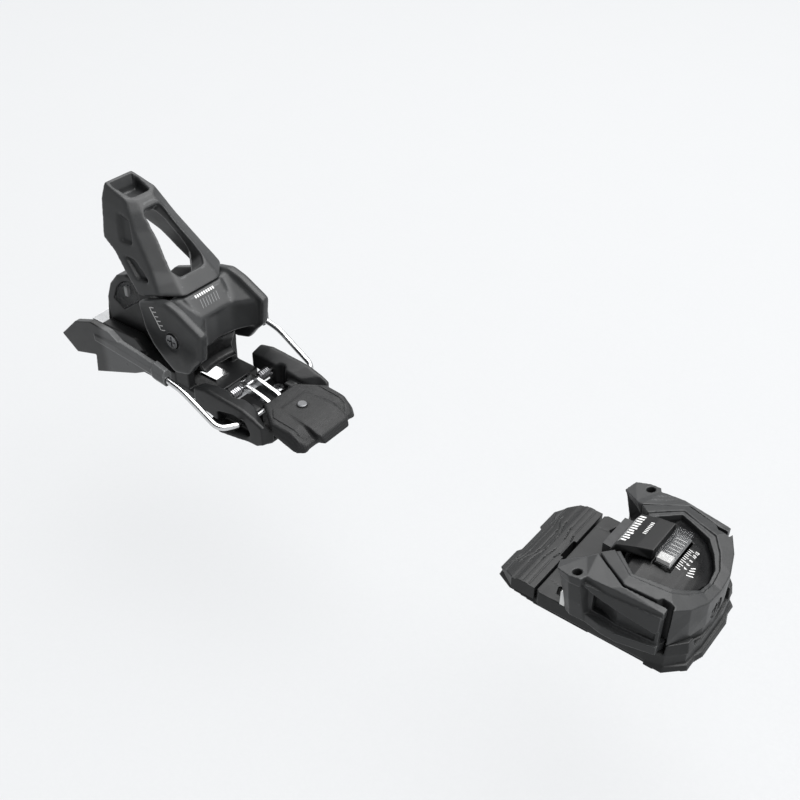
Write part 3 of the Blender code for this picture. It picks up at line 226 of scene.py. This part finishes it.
SHELL = moulded("shell_plastic", (0.0159, 0.0165, 0.0169), 0.40)
CUP = moulded("cup_plastic", (0.0198, 0.0205, 0.0210), 0.34, 0.32, 0.012)
PLATE = moulded("base_plastic", (0.0075, 0.0079, 0.0081), 0.44, 0.4, 0.022)
GLIDER = moulded("glide_plastic", (0.0078, 0.0081, 0.0083), 0.40, 0.4, 0.018)
LEVER = moulded("lever_plastic", (0.0216, 0.0223, 0.0228), 0.36, 0.32, 0.014)
DARK = moulded("dark_plastic", (0.0084, 0.0087, 0.0090), 0.38)
DEEP = moulded("deep_plastic", (0.0025, 0.0026, 0.0028), 0.36, 0.35, 0.012, 0.1, 0.8)
PAD = pedal_pad("pedal_tread", (0.0088, 0.0091, 0.0094), 0.42)
# The sleeve's light colour is a painted highlight along its length; its claw end, behind -196
# mm, fades back to dark plastic.
SLEEVE_PAINTED_HIGHLIGHT = moulded("sleeve_plastic_painted_highlight", (0.0640, 0.0654, 0.0664), 0.32, 0.5, 0.012, 0.08, 0.6,
                 (-206.0, -196.0, 0.16))
CAST = moulded("painted_casting", (0.0198, 0.0205, 0.0210), 0.38, 0.30, 0.014, 0.07, 0.7)
BLACK = gloss_black("dome_gloss")
STEEL = metal("polished_steel", (0.62, 0.625, 0.63), 0.19, line=1.2, depth=0.002, tarnish=0.08)
ZINC = metal("zinc_plate", (0.36, 0.365, 0.372), 0.32, (0.3, 1.0, 1.0), 0.35, 0.01, 0.45)
OXIDE = metal("black_oxide_screw", (0.022, 0.022, 0.023), 0.50, (1.0, 1.0, 1.0), 0.4, 0.01, 0.3)
DULL = metal("dull_rivet", (0.12, 0.122, 0.126), 0.45, (1.0, 1.0, 1.0), 0.4, 0.02, 0.4)
SPRING = metal("spring_steel", (0.30, 0.30, 0.31), 0.34, (0.2, 1.0, 1.0), 0.3, 0.01, 0.5)
PANE = clear_pane("clear_lens")
WHITE = print_white("white_print")
NYLON = print_white("white_nylon", (0.70, 0.70, 0.69))
SOFT_PRINT = print_white("grey_print", (0.10, 0.103, 0.106))
GREY_LABEL = print_white("grey_label", (0.034, 0.0355, 0.037))


# ---------------------------------------------------------------- mesh helpers

COARSE_VOXEL = 0.8       # of the smoothing that gives large radii, mm
PRINT_START = 12.0       # how far off the surface a printed point is cast from, mm
PRINT_REACH = 40.0       # how far it is cast, mm
PRINT_ROOT = 0.2         # how deep raised print is sunk in its surface, mm


def coat(mesh, finish):
    mesh.materials.clear()
    mesh.materials.append(finish)


def make_object(name, mesh, finish):
    piece = bpy.data.objects.new(name, mesh)
    bpy.context.scene.collection.objects.link(piece)
    coat(mesh, finish)
    return piece


def from_points(name, points, faces, finish, at=(0.0, 0.0, 0.0)):
    mesh = bpy.data.meshes.new(name)
    mesh.from_pydata([(Vector(p) + Vector(at)) * MM for p in points], [], faces)
    bm = bmesh.new()
    bm.from_mesh(mesh)
    bmesh.ops.recalc_face_normals(bm, faces=bm.faces)
    bm.to_mesh(mesh)
    bm.free()
    return make_object(name, mesh, finish)


def loft_parts(rings):
    """Points and faces of a closed body through equal rings."""
    points = [p for ring in rings for p in ring]
    n = len(rings[0])
    faces = [(r * n + i, r * n + (i + 1) % n, (r + 1) * n + (i + 1) % n, (r + 1) * n + i)
             for r in range(len(rings) - 1) for i in range(n)]
    last = (len(rings) - 1) * n
    faces += [tuple(range(n)), tuple(last + i for i in range(n))]
    return points, faces


def tool_object(rings, at):
    """A throwaway closed body for a Boolean."""
    points, faces = loft_parts(rings)
    tool = from_points("tool", points, faces, SHELL, at)
    bm = bmesh.new()
    bm.from_mesh(tool.data)
    bmesh.ops.triangulate(bm, faces=bm.faces)
    bm.to_mesh(tool.data)
    bm.free()
    return tool


def settle(piece):
    """Apply every modifier of a piece."""
    graph = bpy.context.evaluated_depsgraph_get()
    mesh = bpy.data.meshes.new_from_object(piece.evaluated_get(graph))
    piece.modifiers.clear()
    old = piece.data
    piece.data = mesh
    bpy.data.meshes.remove(old)


def combine(piece, operation, groups, at):
    """Join or cut a piece with each closed body in turn."""
    for rings in groups:
        tool = tool_object(rings, at)
        step = piece.modifiers.new("step", "BOOLEAN")
        step.operation = operation
        step.solver = "EXACT"
        step.object = tool
        settle(piece)
        bpy.data.objects.remove(tool)


def remeshed(piece, voxel, rounds):
    """Remesh a piece at a voxel size in mm and smooth it."""
    step = piece.modifiers.new("remesh", "REMESH")
    step.mode = "VOXEL"
    step.voxel_size = voxel * MM
    step = piece.modifiers.new("smooth", "SMOOTH")
    step.factor = 0.5
    step.iterations = rounds
    settle(piece)


def refine(node, finish, voxel=0.5, rounds=3, soft=0, adds=(), cuts=(), at=(0.0, 0.0, 0.0)):
    """A softened moulding that stands for a CAD node.

    Bodies in adds are joined, soft rounds of a coarse smoothing give it large radii, bodies in
    cuts are taken out, and a fine remesh rounds what edges are left.
    """
    mesh = frame["nodes"][node].data.copy()
    bm = bmesh.new()
    bm.from_mesh(mesh)
    bmesh.ops.remove_doubles(bm, verts=bm.verts, dist=1e-6)
    bm.to_mesh(mesh)
    bm.free()
    piece = make_object(node + "_moulding", mesh, finish)
    combine(piece, "UNION", adds, at)
    if soft:
        remeshed(piece, COARSE_VOXEL, soft)
    combine(piece, "DIFFERENCE", cuts, at)
    remeshed(piece, voxel, rounds)
    piece.data.shade_smooth()
    coat(piece.data, finish)
    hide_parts(node)
    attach(piece, NODE_BODY[node])
    return piece


def height_on(node, at):
    """A function giving the height of a CAD node's upper surface at x, y of a station, mm."""
    mesh = frame["nodes"][node].data
    tree = BVHTree.FromPolygons([v.co / MM for v in mesh.vertices],
                                [p.vertices[:] for p in mesh.polygons])

    def height(x, y):
        hit = tree.ray_cast(Vector((x, y, 300.0)) + at, Vector((0.0, 0.0, -1.0)))[0]
        return hit.z - at[2] if hit else None
    return height


def groove_on(node, at, line, width=0.9, depth=0.6):
    """Groove cutter that follows a node's upper surface under a 2-D line."""
    height = height_on(node, at)
    path = []
    for x, y in trace(line, 1.2):
        z = height(x, y)
        if z is not None:
            path.append((x, y, z))
    return sweep(path, (0.0, 0.0, 1.0), width, depth)


def sweep(path, normal, width, depth, above=1.5):
    """Rings of a tapered groove cutter along a path on a face with the given normal."""
    up = Vector(normal).normalized()
    rings = []
    for i, point in enumerate(path):
        step = Vector(path[min(i + 1, len(path) - 1)]) - Vector(path[max(i - 1, 0)])
        side = step.cross(up).normalized() * width * 0.5
        here = Vector(point)
        rings.append([here - side + up * above, here + side + up * above,
                      here + side * 0.6 - up * depth, here - side * 0.6 - up * depth])
    return rings


def block(low, high):
    """Rings of an upright block between two corners."""
    (x0, y0, z0), (x1, y1, z1) = low, high
    return [[(x0, y0, z), (x1, y0, z), (x1, y1, z), (x0, y1, z)] for z in (z0, z1)]


def flip(rings, side):
    """The same rings on the left (1) or the right (-1)."""
    return [[(x, y * side, z) for x, y, z in ring] for ring in rings]


def tube(x, z, radius, start, end, sides=24):
    """Rings of a round bar along Y at x, z, from start to end."""
    turns = [2.0 * math.pi * k / sides for k in range(sides)]
    return [[(x + radius * math.cos(turn), y, z + radius * math.sin(turn)) for turn in turns]
            for y in (start, end)]


def trace(line, step=0.9):
    """A polyline resampled to short steps."""
    out = [Vector(line[0])]
    for a, b in zip(line, line[1:]):
        a, b = Vector(a), Vector(b)
        n = max(1, math.ceil((b - a).length / step))
        out += [a.lerp(b, k / n) for k in range(1, n + 1)]
    return out


def belongs(piece, node):
    """A small detail that rides with a CAD node."""
    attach(piece, NODE_BODY[node])
    return piece


def strokes(name, node, target, lines, width, finish, at, u, v, origin, proud=0.14):
    """Raised print riding with a node: flat strips along 2-D lines.

    The lines are drawn in u and v from the origin, and cast onto the target along u x v.
    """
    u, v = Vector(u).normalized(), Vector(v).normalized()
    cast = -u.cross(v).normalized()
    tree = BVHTree.FromPolygons([w.co / MM for w in target.data.vertices],
                                [p.vertices[:] for p in target.data.polygons])
    base = Vector(origin) + at
    points, faces = [], []
    for line in lines:
        path = trace(line)
        rows = []
        for i, here in enumerate(path):
            step = path[min(i + 1, len(path) - 1)] - path[max(i - 1, 0)]
            side = Vector((-step.y, step.x)).normalized() * width * 0.5
            row = []
            for q in (here - side, here + side):
                start = base + u * q.x + v * q.y - cast * PRINT_START
                hit = tree.ray_cast(start, cast, PRINT_REACH)[0]
                if hit is None:
                    break
                row += [hit - cast * proud, hit + cast * PRINT_ROOT]
            rows.append(row if len(row) == 4 else None)
        runs = [[]]
        for row in rows:
            if row is None:
                runs.append([])
            else:
                runs[-1].append(row)
        for run in runs:
            if len(run) < 2:
                continue
            first = len(points)
            for left, left_low, right, right_low in run:
                points += [left, right, right_low, left_low]
            for r in range(len(run) - 1):
                k = first + 4 * r
                faces += [(k + i, k + (i + 1) % 4, k + 4 + (i + 1) % 4, k + 4 + i)
                          for i in range(4)]
            last = first + 4 * (len(run) - 1)
            faces += [tuple(range(first, first + 4)), tuple(range(last, last + 4))]
    return belongs(from_points(name, points, faces, finish), node)


def bevelled(name, rings, finish, node, at, radius=0.4, segments=3):
    """A small closed part with rounded edges, riding with a node."""
    points, faces = loft_parts(rings)
    piece = from_points(name, points, faces, finish, at)
    step = piece.modifiers.new("bevel", "BEVEL")
    step.width = radius * MM
    step.segments = segments
    step.limit_method = "ANGLE"
    settle(piece)
    piece.data.shade_smooth()
    coat(piece.data, finish)
    return belongs(piece, node)


# Strokes of the digits on the value scale, 1 wide and 2 high.
DIGITS = {
    "0": [[(0.5, 0.0), (0.0, 0.6), (0.0, 1.4), (0.5, 2.0), (1.0, 1.4), (1.0, 0.6), (0.5, 0.0)]],
    "1": [[(0.3, 1.6), (0.6, 2.0), (0.6, 0.0)]],
    "2": [[(0.0, 1.7), (0.3, 2.0), (0.9, 2.0), (1.0, 1.5), (0.0, 0.0), (1.0, 0.0)]],
    "4": [[(0.8, 0.0), (0.8, 2.0), (0.0, 0.6), (1.1, 0.6)]],
    "6": [[(0.9, 2.0), (0.1, 1.2), (0.0, 0.2), (0.9, 0.0), (1.0, 0.9), (0.1, 1.0)]],
    "8": [[(0.5, 1.05), (0.0, 1.5), (0.5, 2.0), (1.0, 1.5), (0.5, 1.05), (0.0, 0.5), (0.5, 0.0),
           (1.0, 0.5), (0.5, 1.05)]],
}


def numeral(text, scale):
    """Lines of a small number with its lower left corner at 0, 0."""
    return [[((x + 1.5 * k) * scale, y * scale) for x, y in line]
            for k, digit in enumerate(text) for line in DIGITS[digit]]


def finish_node(node, finish):
    """Give a kept CAD node its finished material."""
    mesh = frame["nodes"][node].data
    coat(mesh, finish)
    mesh.polygons.foreach_set("material_index", [0] * len(mesh.polygons))


# ---------------------------------------------------------------- pieces

# Profile of the gliding plate's top: station, height.
GLIDE = ((-57.5, 4.6), (-52.5, 7.6), (-50.5, 9.4), (-46.5, 11.0), (-44.5, 11.6), (-41.0, 12.2),
         (-39.0, 13.4), (-34.0, 13.9), (-32.0, 13.3), (-27.4, 13.2))


def glide_z(x):
    """Height of the gliding plate's top at a station."""
    for (x0, z0), (x1, z1) in zip(GLIDE, GLIDE[1:]):
        if x0 <= x <= x1:
            return z0 + (z1 - z0) * (x - x0) / (x1 - x0)
    return GLIDE[0][1] if x < GLIDE[0][0] else GLIDE[-1][1]


GROOVE_POINTS = 41


def glide_groove(x_edge, x_middle, y_bend, spread, y_end):
    """A contour line across the gliding plate, shifted along X in its middle."""
    path = []
    for k in range(GROOVE_POINTS):
        y = -y_end + 2.0 * y_end * k / (GROOVE_POINTS - 1.0)
        t = 1.0 / (1.0 + math.exp((abs(y) - y_bend) / spread))
        x = x_edge + (x_middle - x_edge) * t
        path.append((x, y, glide_z(x)))
    return sweep(path, (0.0, 0.0, 1.0), 1.1, 0.95)


# Inner and outer edge of the horseshoe's top, left half.
RING = (
    ((12.0, 17.5, 52.0), (3.5, 25.0, 50.0)), ((27.0, 30.5, 53.2), (25.5, 40.5, 51.0)),
    ((47.5, 24.5, 50.5), (55.5, 38.6, 47.5)), ((54.5, 17.5, 47.0), (62.5, 27.5, 43.5)),
    ((59.5, 9.5, 43.5), (67.2, 13.5, 40.5)), ((60.5, 0.0, 42.0), (68.0, 0.0, 39.5)),
)


def ring_lip(share, depth):
    """Cutter that lowers the inner rim of the horseshoe by a step."""
    half = []
    for inner, outer in RING:
        inner, outer = Vector(inner), Vector(outer)
        across = outer - inner
        away = Vector((across.x, across.y, 0.0)).normalized()
        lip = inner + across * share
        start = inner - away * 3.0
        high = Vector((0.0, 0.0, 5.0))
        low = Vector((0.0, 0.0, depth))
        half.append([start + high, lip + high, lip - low, start - low])
    other = [[Vector((p.x, -p.y, p.z)) for p in ring] for ring in reversed(half[:-1])]
    return half + other


def wing_rail(side):
    """Upper rail of a wing's arm, proud of its web."""
    line = [(6.5, 43.4), (6.5, 41.0), (11.0, 38.4), (20.0, 35.4), (33.0, 32.0), (50.0, 29.0),
            (52.2, 31.0), (52.2, 43.4)]
    inner = [(x, 41.4, z) for x, z in line]
    outer = [(x, 47.0 - 0.075 * (x - 6.5), min(z + 1.0, 43.3)) for x, z in line]
    return flip([inner, outer], side)


# Floor of the hollow in a wing's arm: station, distance from the middle.
HOLLOW_FLOOR = ((11.2, 38.2), (16.0, 38.2), (20.0, 39.6), (24.0, 41.4), (27.0, 42.5),
                (36.0, 41.5), (46.4, 40.3), (50.0, 40.3))


def wing_hollow(side):
    """Hollow between the two rails of a wing's arm, deepest behind the post."""
    top = [(11.2, 37.6), (16.0, 35.9), (20.0, 34.4), (24.0, 33.2), (27.0, 32.4), (36.0, 30.3),
           (46.4, 28.4), (50.0, 27.8)]
    outline = top + [(x, 21.6) for x, _ in reversed(top)]
    depth = dict(HOLLOW_FLOOR)
    inner = [(x, depth[x], z) for x, z in outline]
    outer = [(x, 60.0, z) for x, z in outline]
    return flip([inner, outer], side)


# The dome: station, half width, height in the middle and at the edge.
DOME = (
    (13.6, 16.8, 46.0, 44.0), (20.0, 23.2, 50.0, 47.4), (27.0, 29.6, 51.0, 48.6),
    (34.0, 28.0, 51.0, 47.8), (41.0, 26.2, 50.4, 46.8), (47.5, 23.6, 48.6, 45.2),
    (52.0, 19.4, 46.2, 43.2), (55.5, 15.0, 43.8, 41.6), (58.4, 9.0, 41.0, 40.0),
    (59.8, 3.5, 39.9, 39.4),
)


def dome_rings():
    """Cover that fills the horseshoe up to its inner rim."""
    rings = []
    for x, half, crown, edge in DOME:
        shares = [-1.0 + k / 5.0 for k in range(11)]
        ring = [(x, half * t, crown - (crown - edge) * t * t) for t in shares]
        rings.append(ring + [(x, half * t * 0.96, 36.5) for t in (1.0, -1.0)])
    return rings


FROM_ABOVE = ((1.0, 0.0, 0.0), (0.0, 1.0, 0.0))
DECK_LINE = ((-25.0, 28.0), (-15.0, 30.0), (-9.0, 33.0))
# Contour lines of the gliding plate: x at the edge, x in the middle, bend, spread, end.
CONTOURS = (
    (-54.6, -51.6, 24.0, 1.6, 29.0), (-50.4, -47.6, 20.0, 2.0, 34.0),
    (-47.4, -43.2, 17.0, 1.6, 37.0), (-42.6, -39.6, 13.0, 2.2, 39.0),
    (-36.6, -34.6, 10.0, 2.0, 39.5), (-32.0, -30.6, 9.0, 1.5, 39.5),
)


def toe_mouldings():
    """The toe piece's shells; returns the dome and the hood, which carry print."""
    refine("toe_base_plate", PLATE, 0.5, 2, at=TOE, cuts=[
        groove_on("toe_base_plate", TOE, [(x, y * side) for x, y in DECK_LINE])
        for side in (1, -1)])
    refine("gliding_plate", GLIDER, 0.4, 1, at=TOE,
           cuts=[glide_groove(*contour) for contour in CONTOURS])
    refine("toe_housing", SHELL, 0.45, 3, at=TOE, cuts=[ring_lip(0.27, 1.3)])
    dome = refine("toe_dome_cover", BLACK, 0.45, 6, at=TOE, adds=[dome_rings()],
                  cuts=[block((31.0, -14.8, 30.0), (42.0, 14.8, 70.0))])
    hood_line = [(20.6, -15.4, 56.3), (20.6, 15.4, 56.3)]
    hood = refine("toe_hood", DEEP, 0.4, 5, at=TOE,
                  cuts=[sweep(hood_line, (-0.3, 0.0, 1.0), 0.9, 0.5)])
    for side, label in ((1, "left"), (-1, "right")):
        node = "toe_wing_" + label
        refine(node, CAST, 0.45, 3, at=TOE, adds=[wing_rail(side)], cuts=[wing_hollow(side)])
        bevelled("wing_pad_" + label, flip(block((-9.0, 38.0, 14.0), (-5.6, 43.4, 24.5)), side),
                 NYLON, node, TOE, 0.5)
    return dome, hood


def toe_print(dome, hood):
    """The value scale on the dome, and plain bars on the hood."""
    ticks = [[(42.6, -9.0 + 1.7 * k), (44.6 + (0.9 if k % 2 == 0 else 0.0), -9.0 + 1.7 * k)]
             for k in range(11)]
    strokes("scale_ticks", "toe_dome_cover", dome, ticks, 0.42, WHITE, TOE, *FROM_ABOVE,
            (0, 0, 55))
    marks = [[(46.2 + y, -6.6 + 3.6 * k + x) for x, y in line]
             for k, text in enumerate(("4", "6", "8", "10", "12"))
             for line in numeral(text, 0.95)]
    strokes("scale_numbers", "toe_dome_cover", dome, marks, 0.34, WHITE, TOE, *FROM_ABOVE,
            (0, 0, 55))
    bars = [[(49.4, -9.0 + 1.9 * k), (52.8 - 0.5 * k, -6.5 + 1.9 * k)] for k in range(4)]
    strokes("dome_stripes", "toe_dome_cover", dome, bars, 0.5, WHITE, TOE, *FROM_ABOVE,
            (0, 0, 55))
    big = [[(6.6, 13.4 - 2.35 * k), (12.2 + 1.4 * math.sin(3.1 * k), 13.4 - 2.35 * k - 0.8)]
           for k in range(11)]
    strokes("hood_bars", "toe_hood", hood, big, 1.25, WHITE, TOE, *FROM_ABOVE, (0, 0, 60))
    small = [[(17.2, 9.0 - 1.5 * k), (19.4, 9.0 - 1.5 * k - 0.3)] for k in range(8)]
    strokes("hood_marks", "toe_hood", hood, small, 0.7, WHITE, TOE, *FROM_ABOVE, (0, 0, 60))
    label = bevelled("value_label", block((31.9, -14.2, 50.6), (41.2, 14.2, 51.4)), GREY_LABEL,
                     "value_window", TOE, 0.15, 2)
    lines = [[(33.2, y), (40.0, y)] for y in (-5.6, -2.4, 0.8, 4.0, 7.2, 10.4)]
    strokes("label_lines", "value_window", label, lines, 0.4, WHITE, TOE, *FROM_ABOVE,
            (0, 0, 52), 0.08)


# The lever's front apron, filled in here as part of the cup.
APRON = (
    ((-0.6, 18.9, 84.4), (-0.6, -18.9, 84.4), (-14.0, -18.9, 81.4), (-14.0, 18.9, 81.4)),
    ((12.7, 15.2, 70.0), (12.7, -15.2, 70.0), (7.0, -15.2, 64.0), (7.0, 15.2, 64.0)),
)
POLE_POCKET = (
    ((-72.0, -7.4, 137.5), (-57.5, -7.0, 137.5), (-57.5, 7.0, 137.5), (-72.0, 7.4, 137.5)),
    ((-76.2, -11.4, 152.0), (-54.4, -10.0, 152.0), (-54.4, 10.0, 152.0), (-76.2, 11.4, 152.0)),
)
PEDAL_BORDER = ((77.0, -17.0), (84.0, -24.0), (109.0, -24.0), (113.0, -20.0), (113.0, 20.0),
                (109.0, 24.0), (84.0, 24.0), (77.0, 17.0))


def housing_slot(side):
    """Upright slot in the back of the spring housing."""
    foot = [(-99.5, side * 14.0), (-97.9, side * 14.0), (-97.9, side * 12.0),
            (-99.5, side * 12.0)]
    return [[(x, y, z) for x, y in foot] for z in (80.0, 20.0)]


def heel_mouldings():
    """The heel piece's and brake's shells; returns the cup, which carries print."""
    refine("heel_carriage", DARK, 0.6, 3, at=HEEL)
    refine("spring_housing", DARK, 0.5, 5, at=HEEL, cuts=[housing_slot(s) for s in (1, -1)])
    cup = refine("heel_cup", CUP, 0.45, 3, 44, at=HEEL, adds=[APRON],
                 cuts=[tube(0.0, 57.0, 5.9, s * 31.4, s * 45.0) for s in (1, -1)])
    refine("step_plate", DEEP, 0.45, 4, 6, at=HEEL)
    below = block((-13.6, -17.6, 60.0), (30.0, 17.6, 85.1))
    refine("heel_lever", LEVER, 0.45, 3, 30, at=HEEL, cuts=[POLE_POCKET, below])
    refine("brake_housing", DARK, 0.5, 3, 8, at=HEEL)
    refine("brake_pedal", PAD, 0.4, 2, 16, at=HEEL,
           cuts=[groove_on("brake_pedal", HEEL, PEDAL_BORDER, 1.1, 0.7)])
    for side in ("left", "right"):
        refine("arm_sleeve_" + side, SLEEVE_PAINTED_HIGHLIGHT, 0.45, 4, at=HEEL)
        refine("brake_wire_" + side, STEEL, 0.35, 6, at=HEEL)
    return cup


def heel_print(cup):
    """Plain bars on the cup's front and a plain scale on each of its sides."""
    face = (0.0, 1.0, 0.0), (-0.66, 0.0, 0.75)
    rows = [[(-10.0 + 2.1 * k, 5.2), (-8.8 + 2.1 * k, 5.2)] for k in range(9)]
    strokes("front_bars", "heel_cup", cup, rows, 2.2, WHITE, HEEL, *face, (5.0, 0.0, 78.4))
    rows = [[(-9.0 + 2.6 * k, -4.4), (-7.6 + 2.6 * k, 2.0)] for k in range(7)]
    strokes("front_stripes", "heel_cup", cup, rows, 0.55, SOFT_PRINT, HEEL, *face,
            (5.0, 0.0, 78.4))
    for side, label in ((1, "left"), (-1, "right")):
        across = (1.0 * -side, 0.0, 0.0), (0.0, 0.0, 1.0)
        lines = [[(side * 19.0, 78.5), (side * 10.0, 63.0)]]
        lines += [[(side * (18.2 - 1.8 * k), 78.7 - 3.1 * k),
                   (side * (14.6 - 1.8 * k), 79.7 - 3.1 * k)] for k in range(6)]
        strokes("panel_scale_" + label, "heel_cup", cup, lines, 0.6, WHITE, HEEL, *across,
                (0.0, 36.0 * side, 0.0))


toe_print(*toe_mouldings())
heel_print(heel_mouldings())

# Materials of the CAD nodes that are shown as they are; the rest are zinc plated.
FINISHES = {
    "toe_spring_case": DARK, "toe_release_screw": OXIDE, "value_window": PANE,
    "heel_value_window": PANE, "toe_value_pointer": WHITE, "heel_value_pointer": WHITE,
    "carriage_steel_plate": STEEL,
    "brake_link_left": STEEL, "brake_link_right": STEEL, "pedal_rivet": DULL,
    "toe_spring": SPRING, "heel_spring": SPRING, "forward_pressure_spring": SPRING,
    "brake_spring_left": SPRING, "brake_spring_right": SPRING,
}
for label, made in frame["nodes"].items():
    if not made.hide_render:
        finish_node(label, FINISHES.get(label, ZINC))

# ---------------------------------------------------------------- studio

AZIMUTH = math.radians(37.94)
ELEVATION = math.radians(37.11)
CAMERA_PLACE = (0.386, -0.45141, 0.500)
LENS, SENSOR = 50.0, 36.0
FLOOR_Z = -0.145
FLOOR_SIDES = 96
# Section of the bowl-shaped floor: radius, height over FLOOR_Z.
FLOOR_PROFILE = ((0.02, 0.0), (2.0, 0.0), (4.6, 0.0), (5.2, 0.08), (5.7, 0.35), (6.0, 0.9),
                 (6.1, 2.4))
LIT_POINT = (0.0, 0.0, 0.03)
# Square softboxes: name, place, size, power.
LIGHTS = (("key", (0.7, 0.6, 2.2), 3.0, 150.0), ("side", (1.5, 0.25, 1.4), 2.0, 30.0),
          ("back", (-0.9, 1.1, 2.1), 2.4, 60.0))


def camera():
    data = bpy.data.cameras.new("camera")
    data.lens = LENS
    data.sensor_width = SENSOR
    made = bpy.data.objects.new("camera", data)
    back = Vector((math.sin(AZIMUTH) * math.cos(ELEVATION),
                   -math.cos(AZIMUTH) * math.cos(ELEVATION), math.sin(ELEVATION)))
    made.location = CAMERA_PLACE
    made.rotation_mode = "QUATERNION"
    made.rotation_quaternion = (-back).to_track_quat("-Z", "Y")
    bpy.context.scene.collection.objects.link(made)
    bpy.context.scene.camera = made


def area_light(name, place, size, power):
    data = bpy.data.lights.new(name, "AREA")
    data.shape = "RECTANGLE"
    data.size = size
    data.size_y = size
    data.energy = power
    made = bpy.data.objects.new(name, data)
    made.location = place
    made.rotation_mode = "QUATERNION"
    made.rotation_quaternion = (Vector(LIT_POINT) - Vector(place)).to_track_quat("-Z", "Y")
    bpy.context.scene.collection.objects.link(made)


def studio():
    g = Graph("floor_paper")
    tone = g.mix(g.noise(60.0, 3.0), (0.042, 0.0424, 0.0432, 1.0), (0.046, 0.0464, 0.0472, 1.0))
    paper = g.surface(Base_Color=tone, Roughness=g.remap(g.noise(2.0), 0.3, 0.7, 0.75, 0.9),
                      Emission_Color=(0.97, 0.985, 1.0, 1.0), Emission_Strength=0.76,
                      Normal=g.bump(g.noise(1.2), 0.02, 0.2))
    sides = FLOOR_SIDES
    points = [(r * math.cos(2.0 * math.pi * k / sides), r * math.sin(2.0 * math.pi * k / sides),
               FLOOR_Z + z) for r, z in FLOOR_PROFILE for k in range(sides)]
    faces = [(ring * sides + k, ring * sides + (k + 1) % sides,
              (ring + 1) * sides + (k + 1) % sides, (ring + 1) * sides + k)
             for ring in range(len(FLOOR_PROFILE) - 1) for k in range(sides)]
    faces.append(tuple(reversed(range(sides))))      # faces the same way as the rings
    mesh = bpy.data.meshes.new("floor")
    mesh.from_pydata(points, [], faces)
    mesh.shade_smooth()
    make_object("floor", mesh, paper)
    world = bpy.data.worlds.new("world")
    world.use_nodes = True
    back = world.node_tree.nodes["Background"]
    back.inputs["Color"].default_value = (0.95, 0.97, 1.0, 1.0)
    back.inputs["Strength"].default_value = 0.08
    bpy.context.scene.world = world
    for light in LIGHTS:
        area_light(*light)
    bpy.context.scene.view_settings.view_transform = "Standard"


camera()
studio()
